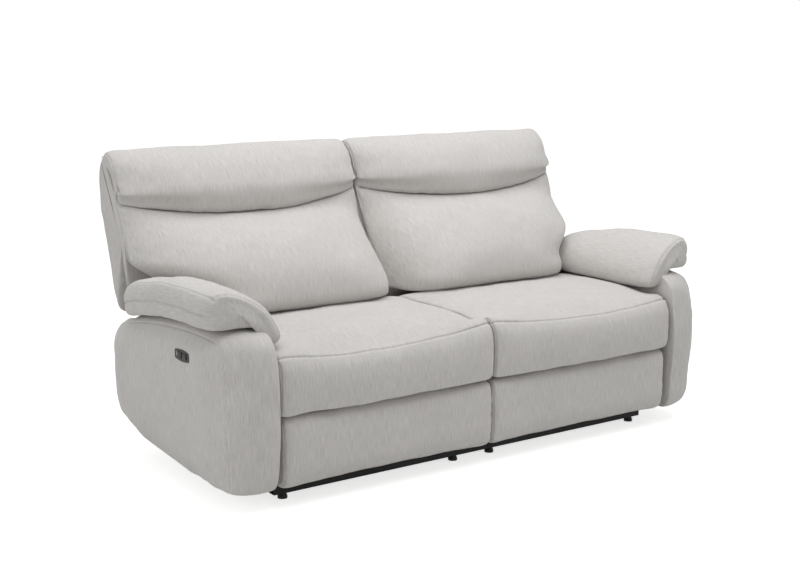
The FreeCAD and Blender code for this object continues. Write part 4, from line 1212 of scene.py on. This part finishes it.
def boltTree():
    tree = bpy.data.node_groups.new("boltRow", "GeometryNodeTree")
    face = tree.interface
    face.new_socket(name="Places", in_out="INPUT", socket_type="NodeSocketGeometry")
    named = {}
    for label in ("Head width", "Head height", "Washer width"):
        named[label] = face.new_socket(name=label, in_out="INPUT", socket_type="NodeSocketFloat").identifier
    finish = face.new_socket(name="Finish", in_out="INPUT", socket_type="NodeSocketMaterial")
    named["Finish"] = finish.identifier
    face.new_socket(name="Bolts", in_out="OUTPUT", socket_type="NodeSocketGeometry")
    given = addNode(tree, "NodeGroupInput").outputs
    headRadius = product(tree, given["Head width"], 0.577)
    washerRadius = product(tree, given["Washer width"], 0.5)
    washer = addNode(tree, "GeometryNodeMeshCylinder", {}, {
        "Vertices": 24, "Radius": washerRadius, "Depth": bolts["washerThick"]})
    head = addNode(tree, "GeometryNodeMeshCylinder", {}, {
        "Vertices": 6, "Radius": headRadius, "Depth": given["Head height"]})
    lower = addNode(tree, "ShaderNodeCombineXYZ", {}, {2: product(tree, given["Head height"], -0.5)})
    hung = addNode(tree, "GeometryNodeTransform", {}, {
        "Geometry": head.outputs["Mesh"], "Translation": lower.outputs[0]})
    joined = addNode(tree, "GeometryNodeJoinGeometry")
    tree.links.new(washer.outputs["Mesh"], joined.inputs[0])
    tree.links.new(hung.outputs[0], joined.inputs[0])
    placed = addNode(tree, "GeometryNodeInstanceOnPoints", {}, {
        "Points": given["Places"], "Instance": joined.outputs[0]})
    real = addNode(tree, "GeometryNodeRealizeInstances", {}, {0: placed.outputs[0]})
    painted = addNode(tree, "GeometryNodeSetMaterial", {}, {
        "Geometry": real.outputs[0], "Material": given["Finish"]})
    output = addNode(tree, "NodeGroupOutput")
    tree.links.new(painted.outputs[0], output.inputs[0])
    return tree, named


def railBolts():
    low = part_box("front_cross_rail")[0].z
    mesh = bpy.data.meshes.new("railBolts")
    mesh.from_pydata([(x, bolts["y"], low - 0.5 * bolts["washerThick"]) for x in bolts["across"]], [], [])
    piece = bpy.data.objects.new("railBolts", mesh)
    bpy.context.scene.collection.objects.link(piece)
    modifier = piece.modifiers.new("bolts", "NODES")
    modifier.node_group, named = boltTree()
    modifier[named["Head width"]] = bolts["head"]
    modifier[named["Head height"]] = bolts["height"]
    modifier[named["Washer width"]] = bolts["washer"]
    modifier[named["Finish"]] = slotFinish["zinc_steel"]
    applied(piece)
    piece.data.shade_flat()
    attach(piece, "root")


railBolts()
print("rail bolts made")


# Studio: pale floor, soft overhead light, the photograph's camera

studio = {
    "azimuth": -0.6121818, "elevation": 0.1881034, "place": (-2.687313, -3.777471, 1.383202),
    "focalPixels": 1350.0, "framePixels": 800.0,
}


def seenDirectly(tree):
    # 1 for rays that show the background, in sight, in a gloss or through glass
    path = addNode(tree, "ShaderNodeLightPath").outputs
    most = {"operation": "MAXIMUM"}
    seen = addNode(tree, "ShaderNodeMath", most, {0: path["Is Camera Ray"], 1: path["Is Glossy Ray"]})
    return addNode(tree, "ShaderNodeMath", most, {0: seen.outputs[0], 1: path["Is Transmission Ray"]})


def studioFloor():
    mesh = bpy.data.meshes.new("floor")
    reach = 14.0
    corners = [(-reach, -reach, 0), (reach, -reach, 0), (reach, reach, 0), (-reach, reach, 0)]
    mesh.from_pydata(corners, [], [(0, 1, 2, 3)])
    material, tree, shader = newMaterial("paleFloor", {"Roughness": 0.9, "Specular IOR Level": 0.0})
    shader.inputs["Base Color"].default_value = colour("#e8e8e6")
    seen = seenDirectly(tree)
    glow = product(tree, seen.outputs[0], 0.72)
    shader.inputs["Emission Color"].default_value = (1, 1, 1, 1)
    tree.links.new(glow, shader.inputs["Emission Strength"])
    mesh.materials.append(material)
    floor = bpy.data.objects.new("floor", mesh)
    bpy.context.scene.collection.objects.link(floor)


def studioLight():
    world = bpy.data.worlds.new("studio")
    bpy.context.scene.world = world
    world.use_nodes = True
    tree = world.node_tree
    tree.nodes.clear()
    seen = seenDirectly(tree)
    strength = spread(tree, seen.outputs[0], 0.42, 1.0, 0.0, 1.0)
    sky = addNode(tree, "ShaderNodeBackground", {}, {"Color": (1, 1, 1, 1), "Strength": strength})
    output = addNode(tree, "ShaderNodeOutputWorld")
    tree.links.new(sky.outputs[0], output.inputs[0])
    for name, place, size, power, target in (
        ("overhead", (0.2, -0.5, 3.5), 3.6, 88.0, (0, 0.0, 0.4)),
        ("leftFill", (-4.6, 0.3, 1.7), 2.4, 26.0, (-0.9, 0, 0.45)),
    ):
        lamp = bpy.data.lights.new(name, "AREA")
        lamp.shape = "SQUARE"
        lamp.size = size
        lamp.energy = power
        holder = bpy.data.objects.new(name, lamp)
        holder.location = place
        holder.rotation_mode = "QUATERNION"
        holder.rotation_quaternion = (Vector(target) - Vector(place)).to_track_quat("-Z", "Y")
        bpy.context.scene.collection.objects.link(holder)


def studioCamera():
    azimuth, elevation = studio["azimuth"], studio["elevation"]
    level = math.cos(elevation)
    back = Vector((math.sin(azimuth) * level, -math.cos(azimuth) * level, math.sin(elevation)))
    lens = bpy.data.cameras.new("camera")
    lens.sensor_width = 36.0
    lens.lens = lens.sensor_width * studio["focalPixels"] / studio["framePixels"]
    camera = bpy.data.objects.new("camera", lens)
    camera.location = studio["place"]
    camera.rotation_mode = "QUATERNION"
    camera.rotation_quaternion = (-back).to_track_quat("-Z", "Y")
    bpy.context.scene.collection.objects.link(camera)
    bpy.context.scene.camera = camera


studioFloor()
studioLight()
studioCamera()
bpy.context.scene.view_settings.view_transform = "Standard"
print("studio ready")
